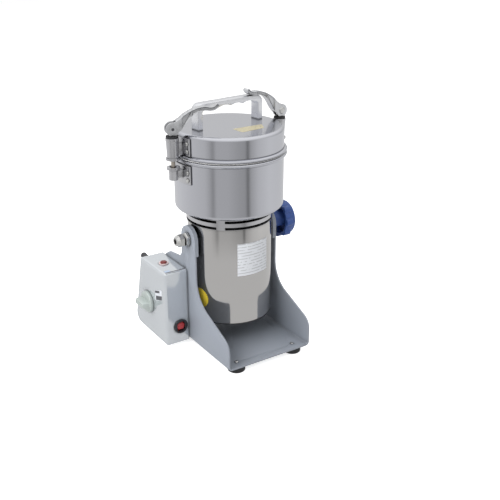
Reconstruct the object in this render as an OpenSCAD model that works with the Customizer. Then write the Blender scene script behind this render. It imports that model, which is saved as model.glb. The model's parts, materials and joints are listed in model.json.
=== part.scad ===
// Electric spice grinder: a steel bowl on a motor tube that tips in a U-shaped stand, for pouring out.
// All sizes are in millimetres. +Z is up and the front faces -Y.
// Inside the modules the tube's axis is X = Y = 0; at the end the whole model is centred on its own footprint.

/* [Stand] */
// Thickness of the stand's sheet steel
plate_t = 2.5; // [2:0.5:4]
// Reach of the base in front of the tube's axis
stand_front = 112.5; // [105:0.5:125]
// Reach of the base behind the tube's axis
stand_rear = 112; // [105:1:125]
// Outer radius of the two long bends
bend_r = 6; // [3.5:0.5:7]
// Height of the pivot axis above the floor
pivot_z = 181; // [178:1:195]
// Radius of the rounded ear around the pivot
ear_r = 20.5; // [18:0.5:24]
// Height of the side plate at its front edge, above the base
front_lip_h = 42; // [32:0.2:46]
// Height at which the front slope would meet the ear's edge, above the base
slope_top_h = 80; // [70:1:90]
// Radius of the sweep between the ear and the front slope
sweep_r = 46; // [30:1:46]
// Radius of the front top corner
front_corner_r = 21; // [10:1:21]
// Thickness of the pads that stiffen the ears inside
pad_t = 3.5; // [2.5:0.5:4]
// Reach of the pads below the pivot axis
pad_drop = 24.5; // [20:0.5:30]

/* [Feet] */
// Height of the rubber feet
foot_h = 9.5; // [8:0.5:16]
// Radius of a foot where it meets the floor
foot_r = 13.5; // [10:0.5:15]
// Distance of a foot's centre from the side of the base
foot_side = 22; // [17:1:24]
// Distance of a foot's centre from the front or rear edge
foot_inset = 14.5; // [14:0.5:22]
// Shank radius of the foot screws
foot_screw_r = 1.8; // [1.5:0.1:2.5]

/* [Motor tube] */
// Outer radius of the motor tube
tube_r = 64; // [58:1:66]
// Wall of the motor tube
tube_wall = 1.2; // [1:0.1:2]
// Reach of the tube below the pivot axis
tube_drop = 129; // [125:1:132]
// Reach of the tube above the pivot axis
tube_rise = 22.5; // [22:0.5:26]
// Free space between the vent ring and the pads
tube_gap = 1.5; // [0.5:0.1:2]
// How far the vent ring stands proud of the tube
ring_proud = 1.4; // [1:0.1:3]
// Wall of the vent ring
ring_wall = 2; // [1.5:0.1:3]
// Height of the vent ring
ring_h = 19; // [17:0.5:22]
// Height of the lower vent slots
low_slot_h = 4; // [3:0.5:6]
// Height of the upper vent slots
high_slot_h = 4; // [2:0.5:4.5]
// Width of the bridges between the slots
bridge_w = 12.5; // [8:0.5:25]

/* [Pivot] */
// Radius of the pivot studs
stud_r = 6; // [5:0.5:7]
// Radial clearance of a stud in the ears and in the knob
run_gap = 0.05; // [0.02:0.01:0.1]
// Radius of the cable passage through the left stud
passage_r = 4; // [3:0.5:4.5]
// Radius of the stud's shoulder against the tube
shoulder_r = 9; // [8:0.5:12]
// Radius of the pivot washers
washer_r = 10; // [10:0.1:14]
// Thickness of the pivot washers
washer_t = 1.7; // [1:0.1:2.5]
// Width across the flats of the left pivot nuts
pivot_nut_af = 18; // [17:0.5:20]
// Thickness of the inner pivot nut
pivot_nut_t = 5; // [4:0.5:7]
// Length of bare thread between the two left pivot nuts
thread_show = 3; // [3:0.5:12]
// Length of the outer nut with its round end
end_nut_t = 11; // [10:1:16]

/* [Clamping knob] */
// Radius over the lobes of the clamping knob
star_r = 31; // [29:0.5:33]
// Radius of the knob's round outer face
star_face_r = 27; // [25:0.5:27.5]
// Length of the lobes, which stop short of the outer face
star_skirt_t = 11; // [9:0.5:12]
// Number of lobes
star_lobes = 8; // [6:1:10]
// Thickness of the lobed rim
star_rim_t = 18.7; // [15:0.1:20]
// Length of the knob, from its washer to its outer face
star_len = 31.7; // [28:0.1:40]
// Radius of the knob's hub
star_hub_r = 13; // [11:0.5:15]
// Outer radius of the brass insert
insert_r = 9; // [8:0.5:9.5]

/* [Bowl] */
// Outer radius of the bowl and the lid
bowl_r = 81.5; // [75:0.5:88]
// Height of the bowl, from its floor's underside to its rim
bowl_h = 84.5; // [80:0.5:110]
// Wall of the bowl and the lid
bowl_wall = 1.5; // [1.2:0.1:2.5]
// Thickness of the bowl's floor
floor_t = 3; // [2.5:0.5:4]
// Radius of the bowl's bottom corner
bowl_corner = 6.5; // [5:0.5:14]
// How far the rim beads stand out from the wall
bead_out = 4.4; // [3:0.1:5.2]
// Height of the bowl's rim bead
bead_h = 6; // [4:0.5:8]
// Thickness of the gasket between bowl and lid
gasket_t = 1; // [0.8:0.1:2]

/* [Lid] */
// Height of the lid above the gasket
lid_h = 35.2; // [30:0.2:45]
// Height of the lid's rim bead
lid_bead_h = 5; // [4:0.5:8]
// Radius of the lid's top edge
lid_edge_r = 5; // [3:0.5:8]
// Depth of the lid's inner skirt below the gasket
skirt_drop = 8; // [5:0.5:10]
// Gap between the skirt and the bowl's inner wall
skirt_gap = 1.5; // [0.8:0.1:3]
// Sheet thickness of the lid's inner cover
liner_t = 1.5; // [1:0.1:2.5]
// Height of the inner cover above the gasket
liner_h = 8; // [5:0.5:15]

/* [Lid handle] */
// Length of the handle over its posts
handle_l = 118.8; // [108:0.4:126]
// Height of the handle above the lid
handle_h = 36.8; // [32:0.2:36.8]
// Width of the handle
handle_w = 16; // [12:0.5:18]
// Thickness of the handle's posts
post_t = 7.5; // [6:0.5:10]
// Thickness of the handle's bar above the finger scallops
bar_t = 6.2; // [5:0.1:9]
// Depth of the finger scallops
scallop_d = 2.6; // [1.5:0.1:3]
// Number of finger scallops
scallops = 4; // [3:1:5]
// Radius of the handle's outer corners
handle_corner = 10; // [6:0.5:12]
// Turn of the handle about the lid's axis, in degrees
handle_turn = 7.5; // [4:0.5:9]
// Offset of the handle from the lid's axis, to the right and to the back
handle_at = [2.5, 5.5];
// Radius of the handle screws
handle_screw_r = 2.5; // [2:0.25:3]

/* [Lid clamps] */
// Turn of the pair of clamps about the lid's axis, in degrees
clamp_turn = 5; // [2:0.5:8]
// Distance of a clamp's rod from the bowl's wall
clamp_out = 15.5; // [14.9:0.2:24.7]
// Radius of the clamp's rod
rod_r = 3; // [2.5:0.1:3.5]
// Radius of the rod's cross head
rod_foot_r = 4.5; // [4:0.1:4.6]
// Height of the cam pin above the gasket
cam_z = 44; // [43:0.5:48]
// Radius of the lever's round cam end
cam_r = 9.5; // [8.5:0.1:9.6]
// Width of the lever
lever_w = 12; // [10:0.5:13]
// Thickness of the rod's flat eye inside the lever's fork
eye_t = 5; // [4:0.5:6]
// Free space on each side of the eye in the fork
fork_gap = 0.4; // [0.3:0.1:0.6]
// Radius of the lever's pin
pin_r = 2.2; // [1.8:0.1:2.6]
// Length of a lever, from its pin to its tip
lever_l = 63; // [60:0.5:64]
// Turn of each lever off its inward line, left and right, in degrees
lever_turn = [-18, -3];
// Pitch of each lever below the right one's, left and right, in degrees
lever_pitch = [7.5, 0];
// Radius of the clamp's sleeve at its top
sleeve_r = 9.4; // [8.5:0.1:10]
// Thickness of the dark washer under the cam
cam_washer_t = 3; // [2:0.5:3.5]
// Radius of the lower cup's flange
cup_r = 9.5; // [9:0.5:11]
// Height of the lower cup
cup_h = 19; // [15:0.5:22]
// Gap between the bowl's rim and the lower cup's top
cup_drop = 9; // [7:0.5:12]
// Radius of the bore in the lower cup
cup_bore_r = 5; // [4.9:0.1:5.2]
// Width of the clamp brackets around the wall
bracket_w = 38; // [34:1:44]
// Sheet thickness of the clamp brackets
bracket_t = 2; // [1.5:0.5:3]
// Height of the upper brackets
bracket_h = 27; // [24:1:29]
// Width of the arm between a bracket and its clamp
bracket_arm_w = 9; // [7:0.5:11]
// Head radius of the bracket screws
bracket_screw_r = 3; // [2.5:0.25:3.5]

/* [Control box] */
// Depth of the box, sideways from the stand
box_w = 39; // [36:1:50]
// Height of the box's top above the floor
box_top = 130; // [122:1:136]
// Height of the box's underside above the floor
box_bottom = 8; // [6:0.5:10]
// Distance of the box's front face behind the tube's axis
box_front = 5; // [0:0.5:10]
// Length of the box's top, up to the corner where the rear slope starts
box_top_l = 82.3; // [78:0.1:90]
// Length of the box's underside, up to the corner where the rear slope ends
box_bottom_l = 113.6; // [104:0.2:118]
// Wall of the box
box_wall = 2; // [1.5:0.5:3]
// Radius of the box's outer edges
box_edge_r = 3.5; // [2:0.5:4]
// Radius of the corner between the top and the rear slope
box_shoulder_r = 5; // [4:0.5:5]
// Radius of the lower rear corner
box_heel_r = 15; // [8:1:18]
// Radius of the box's screws
box_screw_r = 1.75; // [1.5:0.25:2]

/* [Controls] */
// Place of the timer's axis, behind the tube's axis and above the floor
timer_at = [64, 62];
// Radius of the timer knob's disc
timer_knob_r = 17.5; // [15:0.5:20]
// Thickness of the timer knob's disc
timer_disc_t = 5; // [4:0.5:7]
// Height of the timer knob's grip above its disc
timer_grip_h = 11.6; // [9:0.1:14]
// Radius of the timer's shaft
timer_shaft_r = 3; // [2.5:0.25:3.5]
// Place of the rocker switch on the front face, sideways and above the floor
switch_at = [-87.7, 36.8];
// Radius of the switch's bezel
bezel_r = 11.5; // [10.5:0.5:12.5]
// Radius of the switch's body
switch_r = 9.8; // [9.6:0.1:10.2]
// How far the bezel stands out
bezel_t = 2.5; // [1.5:0.5:3]
// Width of the rocker
rocker_w = 13.4; // [11:0.2:13.4]
// Width of the rocker's full middle, between its sloping ends
rocker_flat = 7; // [5:0.5:7.5]
// Radius of the rocker's rounded back about its pivot
rocker_r = 8; // [7.6:0.1:8.2]
// Radius of the rocker's two ends about its pivot
rocker_end_r = 5.2; // [4:0.1:5.4]
// Gap around the rocker
rocker_gap = 0.35; // [0.3:0.05:0.5]
// Rocker's lean to each side, in degrees
rocker_lean = 8; // [5:1:10]
// Place of the reset button on the top, sideways and behind the tube's axis
reset_at = [-92.7, 44];
// Radius of the reset button
reset_r = 5; // [3.5:0.1:5.5]
// Height of the reset button above the box
reset_h = 3.6; // [3.6:0.2:6]
// Travel of the reset button
reset_travel = 2; // [1:0.5:2.5]
// Radius of the cable gland's nut
gland_r = 7; // [6:0.5:7]
// How far the cable gland stands out from the rear slope
gland_l = 19; // [13:0.5:20]
// Place of the cable gland, in from the box's outer side and below its top
gland_at = [15, 11.5];

/* [Motor] */
// Radius of the motor shaft
shaft_r = 6; // [5:0.5:7]
// Outer radius of the stator
stator_r = 54; // [50:1:56]
// Radius of the rotor
rotor_r = 25; // [22:1:27]
// Air gap between rotor and stator
air_gap = 0.6; // [0.4:0.1:1]
// Length of the stator
stator_h = 55; // [45:1:56]
// Height of the stator's underside above the tube's end
stator_z = 58; // [56:1:60]
// Radius of the cooling fan
fan_r = 42; // [36:1:43]
// Height of the fan
fan_h = 10; // [8:0.5:12]
// Free space between the stator and the fan
fan_gap = 8.5; // [8:0.5:10]
// Number of fan blades
fan_blades = 12; // [8:1:16]
// Radius of the commutator
commutator_r = 14; // [12:0.5:15]
// Outer radius of the bearings
bearing_r = 16; // [14:0.5:17]
// Height of a bearing
bearing_h = 10; // [8:0.5:11]
// Height of the lower bearing above the tube's end
bearing_lift = 24; // [20:1:24]
// Distance of the lower shield's plate below the stator
shield_drop = 24; // [23:0.5:24]
// Thickness of the upper shield's flange
flange_t = 2.3; // [2:0.1:3]

/* [Cutters] */
// Reach of the cutters from the shaft's axis
cutter_r = 66; // [50:1:70]
// Width of a cutter
cutter_w = 20; // [16:1:26]
// Thickness of a cutter
cutter_t = 3; // [2:0.5:4]
// Number of cutters on the shaft
cutters_n = 3; // [2:1:3]
// Distance between two cutters
cutter_step = 13; // [10:0.5:15]
// Height of the lowest cutter above the bowl's floor
cutter_lift = 12; // [8:0.5:14]

/* [Hidden] */
$fn = 72;

LEFT = -1;
RIGHT = 1;
// Gap between bodies that pass each other without a fit
clear = 0.3;
// Extra length of a cutting shape, so that it passes through
over = 1;

ring_r = tube_r + ring_proud;
pad_x = ring_r + tube_gap;
inner_x = pad_x + pad_t;
outer_x = inner_x + plate_t;
base_top = foot_h + plate_t;
tube_z = pivot_z - tube_drop;
tube_top = pivot_z + tube_rise;
tube_in = tube_r - tube_wall;
bowl_z = tube_top + ring_h;
rim_z = bowl_z + bowl_h;
bowl_in = bowl_r - bowl_wall;
seam_z = rim_z + gasket_t;
lid_z = seam_z + lid_h;
lever_pivot_z = seam_z + cam_z;
box_x = -outer_x - box_w;
handle_top = lid_z + handle_h;
foot_xy = [outer_x - foot_side, stand_front - foot_inset, stand_rear - foot_inset];
stator_low = tube_z + stator_z;
stator_top = stator_low + stator_h;

// Points of an arc from angle a0 to angle a1
function arc(c, r, a0, a1, n = 8) = [for (i = [0:n]) c + r * [cos(a0 + (a1 - a0) * i / n), sin(a0 + (a1 - a0) * i / n)]];
function unit(v) = v / norm(v);
function wrapped(d) = d > 180 ? d - 360 : d < -180 ? d + 360 : d;
// Points that round the corner p1 with radius r
function corner(p0, p1, p2, r, n) =
  let (a = unit(p0 - p1), b = unit(p2 - p1), half = acos(a * b) / 2,
       c = p1 + unit(a + b) * r / sin(half),
       s = p1 + a * r / tan(half) - c,
       e = p1 + b * r / tan(half) - c,
       a0 = atan2(s.y, s.x))
  r == 0 ? [p1] : arc(c, r, a0, a0 + wrapped(atan2(e.y, e.x) - a0), n);
// An outline of corners [x, y, radius] with each corner rounded
function rounded(p, n = 8) = [
  for (i = [0:len(p) - 1])
    let (q = p[(i + len(p) - 1) % len(p)], s = p[(i + 1) % len(p)])
    each corner([q.x, q.y], [p[i].x, p[i].y], [s.x, s.y], p[i].z, n)
];
// A smooth curve through the points, without its last point
function blend_at(p0, p1, p2, p3, t) =
  0.5 * (2 * p1 + (p2 - p0) * t + (2 * p0 - 5 * p1 + 4 * p2 - p3) * t * t + (3 * p1 - p0 - 3 * p2 + p3) * t * t * t);
function smooth(p, n = 5) = [
  for (i = [0:len(p) - 2], j = [0:n - 1])
    blend_at(p[max(i - 1, 0)], p[i], p[i + 1], p[min(i + 2, len(p) - 1)], j / n)
];

// Turns a flat outline drawn in (y, z) into a plate between two values of x
module across(x0, x1) {
  translate([x0, 0, 0]) rotate([90, 0, 90]) linear_extrude(x1 - x0) children();
}
// Puts a cylinder that was drawn along +Z along +X
module along_x(x) { translate([x, 0, 0]) rotate([0, 90, 0]) children(); }
module pipe(r_out, r_in, h) {
  difference() {
    cylinder(r = r_out, h = h);
    translate([0, 0, -over]) cylinder(r = r_in, h = h + 2 * over);
  }
}
// A screw with a domed head; its head sits on z = 0 and its shank goes down
module pan_screw(shank_r, length, head_r) {
  translate([0, 0, -length]) cylinder(r = shank_r, h = length + 0.2 * head_r);
  rotate_extrude() polygon(concat([[0, 0], [head_r, 0]], arc([head_r * 0.55, head_r * 0.2], head_r * 0.45, 0, 90, 4), [[0, head_r * 0.65]]));
}
module at_pivot() { translate([0, 0, pivot_z]) children(); }
// The clamp on one side, with +X pointing outwards
clamp_reach = bowl_r + clamp_out;
module at_clamp(side) { rotate([0, 0, clamp_turn + (side == LEFT ? 180 : 0)]) translate([clamp_reach, 0, 0]) children(); }
module at_lever(side) {
  i = side == LEFT ? 0 : 1;
  at_clamp(side) translate([0, 0, lever_pivot_z]) rotate([0, 0, 180 + lever_turn[i]]) rotate([0, lever_pitch[i], 0]) children();
}
module at_handle() { translate([handle_at.x, handle_at.y, lid_z]) rotate([0, 0, handle_turn]) children(); }
module each_foot() {
  for (x = [-foot_xy[0], foot_xy[0]], y = [-foot_xy[1], foot_xy[2]]) translate([x, y, 0]) children();
}

// Stand

// Rubber left under the foot screws
foot_floor = 3.5;
ear_gap = 0.01;
side_outline = rounded([
  [-stand_front, foot_h - over, 0],
  [-stand_front, base_top + front_lip_h - plate_t, front_corner_r],
  [-ear_r, foot_h + slope_top_h, sweep_r],
  [-ear_r, pivot_z + ear_r, ear_r - ear_gap],
  [ear_r, pivot_z + ear_r, ear_r - ear_gap],
  [ear_r, pivot_z - 36, 14],
  [62, pivot_z - 41, 25],
  [stand_rear - 16, pivot_z - 64.5, 25],
  [stand_rear, pivot_z - 110, 30],
  [stand_rear, foot_h - over, 0]
], 10);
channel_outline = rounded([
  [-outer_x, foot_h, bend_r],
  [outer_x, foot_h, bend_r],
  [outer_x, pivot_z + ear_r + over, 0],
  [inner_x, pivot_z + ear_r + over, 0],
  [inner_x, base_top, bend_r - plate_t],
  [-inner_x, base_top, bend_r - plate_t],
  [-inner_x, pivot_z + ear_r + over, 0],
  [-outer_x, pivot_z + ear_r + over, 0]
], 6);
// Where the screws of the control box pass through the left plate
box_screw_at = [[14, 21], [14, 116], [98, 22]];
module stand_frame() {
  color([0.62, 0.65, 0.69]) difference() {
    intersection() {
      translate([0, stand_rear + over, 0]) rotate([90, 0, 0])
        linear_extrude(stand_front + stand_rear + 2 * over) polygon(channel_outline);
      across(-outer_x - over, outer_x + over) polygon(side_outline);
    }
    at_pivot() along_x(-outer_x - over) cylinder(r = stud_r + run_gap, h = 2 * (outer_x + over));
    each_foot() cylinder(r = foot_screw_r, h = base_top + over);
    for (p = box_screw_at) translate([0, p.x, p.y]) along_x(-outer_x - over) cylinder(r = box_screw_r, h = plate_t + 2 * over);
  }
}
module pivot_pads() {
  color([0.58, 0.61, 0.65]) for (side = [LEFT, RIGHT]) difference() {
    across(side == LEFT ? -inner_x : pad_x, side == LEFT ? -pad_x : inner_x) polygon(rounded([
      [-ear_r, pivot_z - pad_drop, 3],
      [ear_r, pivot_z - pad_drop, 3],
      [ear_r, pivot_z + ear_r, ear_r - ear_gap],
      [-ear_r, pivot_z + ear_r, ear_r - ear_gap]
    ], 10));
    at_pivot() along_x(-outer_x) cylinder(r = stud_r + run_gap, h = 2 * outer_x);
  }
}
module feet() {
  color([0.08, 0.08, 0.09]) each_foot() difference() {
    rotate_extrude() polygon([[0, 0], [foot_r - 1, 0], [foot_r, 1.5], [foot_r - 1.5, foot_h - 1], [foot_r - 2.5, foot_h], [0, foot_h]]);
    translate([0, 0, foot_floor]) cylinder(r = foot_screw_r, h = foot_h);
  }
}
module foot_screws() {
  color([0.75, 0.76, 0.78]) each_foot() translate([0, 0, base_top]) pan_screw(foot_screw_r, base_top - foot_floor, 1.6 * foot_screw_r);
}

// Control box

box_corners = [
  [box_front, box_bottom, box_edge_r],
  [box_front, box_top, box_edge_r],
  [box_front + box_top_l, box_top, box_shoulder_r],
  [box_front + box_bottom_l, box_bottom, box_heel_r]
];
box_outline = rounded(box_corners);
slope_lean = atan((box_bottom_l - box_top_l) / (box_top - box_bottom));
// Middle of the cable gland's seat on the rear slope
gland_y = box_front + box_top_l + gland_at.y * tan(slope_lean);
gland_neck_r = gland_r - 2.5;
module at_gland() { translate([box_x + gland_at.x, gland_y, box_top - gland_at.y]) rotate([-90 + slope_lean, 0, 0]) children(); }
module control_box() {
  color([0.80, 0.82, 0.85]) difference() {
    union() {
      difference() {
        hull() for (i = [0:4]) let (a = 90 * i / 4)
          across(box_x + box_edge_r * (1 - sin(a)), -outer_x) offset(delta = -box_edge_r * (1 - cos(a))) polygon(box_outline);
        across(box_x + box_wall, -outer_x + over) offset(delta = -box_wall) polygon(box_outline);
      }
      for (p = box_screw_at) translate([0, p.x, p.y]) along_x(box_x + box_wall) cylinder(r = 4, h = box_w - box_wall);
    }
    for (p = box_screw_at) translate([0, p.x, p.y]) along_x(-outer_x - 20) cylinder(r = box_screw_r, h = 20 + over);
    translate([0, timer_at.x, timer_at.y]) along_x(box_x - over) cylinder(r = timer_bush_r, h = box_wall + 2 * over);
    translate([switch_at.x, box_front - over, switch_at.y]) rotate([-90, 0, 0]) cylinder(r = switch_r, h = box_wall + 2 * over);
    translate([reset_at.x, reset_at.y, box_top - box_wall - over]) cylinder(r = reset_r + 2, h = box_wall + 2 * over);
    at_gland() translate([0, 0, -10]) cylinder(r = gland_neck_r, h = 20);
  }
}
module box_screws() {
  color([0.75, 0.76, 0.78]) for (p = box_screw_at) translate([-inner_x, p.x, p.y]) rotate([0, 90, 0]) pan_screw(box_screw_r, 18, 3);
}

// Timer, with its shaft's bearing bush through the box's face

timer_bush_r = 5;
timer_d = 26;
timer_half = 18;
module timer_body() {
  color([0.86, 0.86, 0.82]) translate([0, timer_at.x, timer_at.y]) difference() {
    union() {
      translate([box_x + box_wall, -timer_half, -timer_half]) cube([timer_d, 2 * timer_half, 2 * timer_half]);
      along_x(box_x) cylinder(r = timer_bush_r, h = box_wall + over);
    }
    along_x(box_x - over) cylinder(r = timer_shaft_r + run_gap, h = box_wall + 14 + over);
  }
}
module timer_shaft() {
  color([0.70, 0.70, 0.72]) translate([0, timer_at.x, timer_at.y]) along_x(box_x - timer_disc_t - 6) cylinder(r = timer_shaft_r, h = timer_disc_t + 6 + box_wall + 13);
}
module timer_knob() {
  grip_w = 8;
  color([0.72, 0.76, 0.74]) translate([0, timer_at.x, timer_at.y]) difference() {
    union() {
      along_x(box_x - clear - timer_disc_t) rotate_extrude()
        polygon(concat([[0, 0]], arc([timer_knob_r - 1.5, 1.5], 1.5, -90, 0, 3), [[timer_knob_r, timer_disc_t], [0, timer_disc_t]]));
      intersection() {
        translate([box_x - clear - timer_disc_t - timer_grip_h, -timer_knob_r, -grip_w / 2]) cube([timer_grip_h + over, 2 * timer_knob_r, grip_w]);
        along_x(box_x - clear - timer_disc_t - timer_grip_h) cylinder(r1 = timer_knob_r - 4, r2 = timer_knob_r - 1, h = timer_grip_h + over);
      }
    }
    along_x(box_x - timer_disc_t - 6) cylinder(r = timer_shaft_r, h = timer_disc_t + 6 + over);
  }
}

// Rocker switch in the box's front face

pivot_back = 5.5;
// Half of the window's outline, seen from the front
half_window = [
  [rocker_w / 2 + rocker_gap, -rocker_end_r - rocker_gap], [rocker_w / 2 + rocker_gap, rocker_end_r + rocker_gap],
  [rocker_flat / 2, rocker_r + rocker_gap], [-rocker_flat / 2, rocker_r + rocker_gap]
];
module switch_body() {
  color([0.10, 0.10, 0.11]) translate([switch_at.x, box_front, switch_at.y]) rotate([-90, 0, 0]) difference() {
    union() {
      translate([0, 0, -bezel_t]) rotate_extrude()
        polygon(concat([[0, 0]], arc([bezel_r - 1, 1], 1, -90, 0, 3), [[bezel_r, bezel_t], [0, bezel_t]]));
      cylinder(r = switch_r, h = 22);
    }
    translate([0, 0, -bezel_t - over]) linear_extrude(bezel_t + over + pivot_back)
      polygon([for (s = [1, -1]) each [for (q = half_window) s * q]]);
    translate([0, 0, pivot_back]) rocker_drum(rocker_gap);
    translate([0, 0, pivot_back]) along_x(-rocker_w / 2 - 2) cylinder(r = 1.5 + run_gap, h = rocker_w + 4);
  }
}
// The rocker's solid of revolution about its pivot, full in the middle and sloping to both ends
module rocker_drum(grow) {
  half = rocker_w / 2 + grow;
  along_x(0) rotate_extrude() polygon([
    [0, -half], [rocker_end_r + grow, -half], [rocker_r + grow, -rocker_flat / 2],
    [rocker_r + grow, rocker_flat / 2], [rocker_end_r + grow, half], [0, half]
  ]);
}
module rocker() {
  dip = 5.4;
  color([0.62, 0.10, 0.12]) translate([switch_at.x, box_front + pivot_back, switch_at.y]) rotate([-rocker_lean, 0, 0]) union() {
    intersection() {
      rocker_drum(0);
      across(-rocker_w, rocker_w) polygon([
        [-dip, 0], [-rocker_r, rocker_r - 1], [-rocker_r, rocker_r + 1], [rocker_r + 1, rocker_r + 1],
        [rocker_r + 1, -rocker_r - 1], [-rocker_r, -rocker_r - 1], [-rocker_r, -rocker_r + 1]
      ]);
    }
    along_x(-rocker_w / 2 - 1.6) cylinder(r = 1.5, h = rocker_w + 3.2);
  }
}

// Reset button of the overload protector, in the box's top

module reset_body() {
  color([0.80, 0.72, 0.72]) translate([reset_at.x, reset_at.y, box_top]) difference() {
    union() {
      cylinder(r = reset_r + 2.6, h = 1.5);
      translate([0, 0, -box_wall]) cylinder(r = reset_r + 2, h = box_wall + over);
      translate([0, 0, -26]) cylinder(r = reset_r + 4, h = 26 - box_wall);
    }
    translate([0, 0, -8 - reset_travel]) cylinder(r = reset_r + clear, h = 8 + reset_travel + 1.5 + over);
  }
}
module reset_button() {
  color([0.78, 0.16, 0.14]) translate([reset_at.x, reset_at.y, box_top - 7.7]) rotate_extrude()
    polygon(concat([[0, 0], [reset_r, 0]], arc([reset_r - 1.2, 7.7 + reset_h - 1.2], 1.2, 0, 90, 3), [[0, 7.7 + reset_h]]));
}
module cable_gland() {
  color([0.08, 0.08, 0.09]) at_gland() difference() {
    union() {
      translate([0, 0, -7]) cylinder(r = gland_neck_r, h = 8);
      cylinder(r = gland_r, h = 5, $fn = 6);
      translate([0, 0, 5]) cylinder(r1 = gland_r - 1.2, r2 = gland_r - 2, h = gland_l - 7);
      translate([0, 0, gland_l - 2]) cylinder(r1 = gland_r - 2, r2 = gland_r - 3.5, h = 2);
      translate([0, 0, -box_wall - 3]) cylinder(r = gland_r - 1, h = 3);
    }
    translate([0, 0, -8]) cylinder(r = gland_neck_r - 2, h = gland_l + 9);
  }
}

// Motor tube

module motor_housing() {
  color([0.78, 0.79, 0.80]) difference() {
    translate([0, 0, tube_z]) pipe(tube_r, tube_in, tube_top - tube_z);
    at_pivot() along_x(-tube_r - over) cylinder(r = stud_r, h = 2 * (tube_r + over));
  }
}
module vent_ring() {
  gap_below = 0.5;
  gap_above = 4.7;
  first_bridge = 47;
  slot_z = [gap_below, ring_h - gap_above - high_slot_h];
  slot_h = [low_slot_h, high_slot_h];
  half_bridge = bridge_w / ring_r * 90 / PI;
  color([0.74, 0.75, 0.77]) translate([0, 0, tube_top]) difference() {
    pipe(ring_r, ring_r - ring_wall, ring_h);
    for (i = [0:1], q = [0:3]) rotate([0, 0, first_bridge + 90 * q + half_bridge]) rotate_extrude(angle = 90 - 2 * half_bridge)
      translate([ring_r - ring_wall - over, slot_z[i]]) square([ring_wall + 2 * over, slot_h[i]]);
  }
}
cap_rim_t = 1.8;
module bottom_cap() {
  vents = 6;
  color([0.10, 0.10, 0.11]) difference() {
    union() {
      translate([0, 0, tube_z - cap_rim_t]) cylinder(r = tube_r, h = cap_rim_t);
      translate([0, 0, tube_z - over]) cylinder(r = tube_in, h = over + 3);
    }
    for (i = [0:vents - 1]) rotate([0, 0, 360 / vents * i]) translate([22, -3, tube_z - 2]) cube([28, 6, 6]);
  }
}

// Motor

pillar_at = 50;
pillar_r = 5;
coil_y = 32;
module quarter() { for (a = [45, 135, 225, 315]) rotate([0, 0, a]) children(); }
module upper_shield() {
  hub_h = bearing_h + 4;
  color([0.25, 0.26, 0.27]) difference() {
    union() {
      translate([0, 0, bowl_z - flange_t]) cylinder(r = ring_r - ring_wall, h = flange_t);
      translate([0, 0, bowl_z - flange_t - hub_h]) cylinder(r = bearing_r + 4, h = hub_h + 1);
      quarter() translate([pillar_at, 0, stator_top]) cylinder(r = pillar_r, h = bowl_z - flange_t + 1 - stator_top);
    }
    translate([0, 0, bowl_z - flange_t - hub_h - over]) cylinder(r = bearing_r, h = bearing_h + over);
    translate([0, 0, bowl_z - 20]) cylinder(r = shaft_r + 1, h = 21);
    quarter() translate([bowl_screw_at, 0, bowl_z - 10]) cylinder(r = bowl_screw_r, h = 11);
  }
}
module lower_shield() {
  hub_z = tube_z + bearing_lift;
  plate_z = stator_low - shield_drop;
  color([0.55, 0.56, 0.58]) difference() {
    union() {
      translate([0, 0, plate_z]) cylinder(r = stator_r - 2, h = 3);
      translate([0, 0, hub_z]) cylinder(r = bearing_r, h = plate_z - hub_z + 1);
      quarter() translate([pillar_at - 4, 0, plate_z + 2]) cylinder(r = pillar_r, h = stator_low - plate_z - 2);
    }
    translate([0, 0, hub_z - over]) cylinder(r = bearing_r - 4, h = bearing_h + over);
    translate([0, 0, hub_z]) cylinder(r = shaft_r + 1, h = 30);
  }
}
module upper_bearing() {
  color([0.66, 0.67, 0.70]) translate([0, 0, bowl_z - flange_t - bearing_h - 4]) pipe(bearing_r, shaft_r + run_gap, bearing_h);
}
module lower_bearing() {
  color([0.66, 0.67, 0.70]) translate([0, 0, tube_z + bearing_lift]) pipe(bearing_r - 4, shaft_r - 1 + run_gap, bearing_h);
}
coil_x = 22;
coil_bar = 8;
module stator_core() {
  color([0.35, 0.36, 0.38]) translate([0, 0, stator_low]) difference() {
    pipe(stator_r, rotor_r + air_gap, stator_h);
    for (x = [-coil_x, coil_x - coil_bar], y = [-coil_y - coil_bar / 2, coil_y - coil_bar / 2])
      translate([x, y, -over]) cube([coil_bar, coil_bar, stator_h + 2 * over]);
  }
}
module field_coils() {
  color([0.72, 0.42, 0.20]) for (y = [-coil_y - coil_bar / 2, coil_y - coil_bar / 2]) difference() {
    translate([-coil_x, y, stator_low - 7]) cube([2 * coil_x, coil_bar, stator_h + 14]);
    translate([-coil_x + coil_bar, y - over, stator_low]) cube([2 * (coil_x - coil_bar), coil_bar + 2 * over, stator_h]);
  }
}
module each_brush() { for (a = [0, 180]) rotate([0, 0, a]) translate([commutator_r + clear, 0, stator_low - 21]) children(); }
module brush_holders() {
  color([0.80, 0.66, 0.35]) each_brush() difference() {
    translate([2, -5, 0]) cube([20, 10, 14]);
    translate([0, -3, 4]) cube([20, 6, 8]);
  }
}
module brushes() { color([0.15, 0.15, 0.16]) each_brush() translate([0, -3, 4]) cube([16, 6, 8]); }
module motor_shaft() {
  shoulder_z = tube_z + bearing_lift + bearing_h;
  color([0.72, 0.73, 0.75]) union() {
    translate([0, 0, shoulder_z - bearing_h - 2]) cylinder(r = shaft_r - 1, h = bearing_h + 3);
    translate([0, 0, shoulder_z]) cylinder(r = shaft_r, h = stack_top + 7 - shoulder_z);
  }
}
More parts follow.
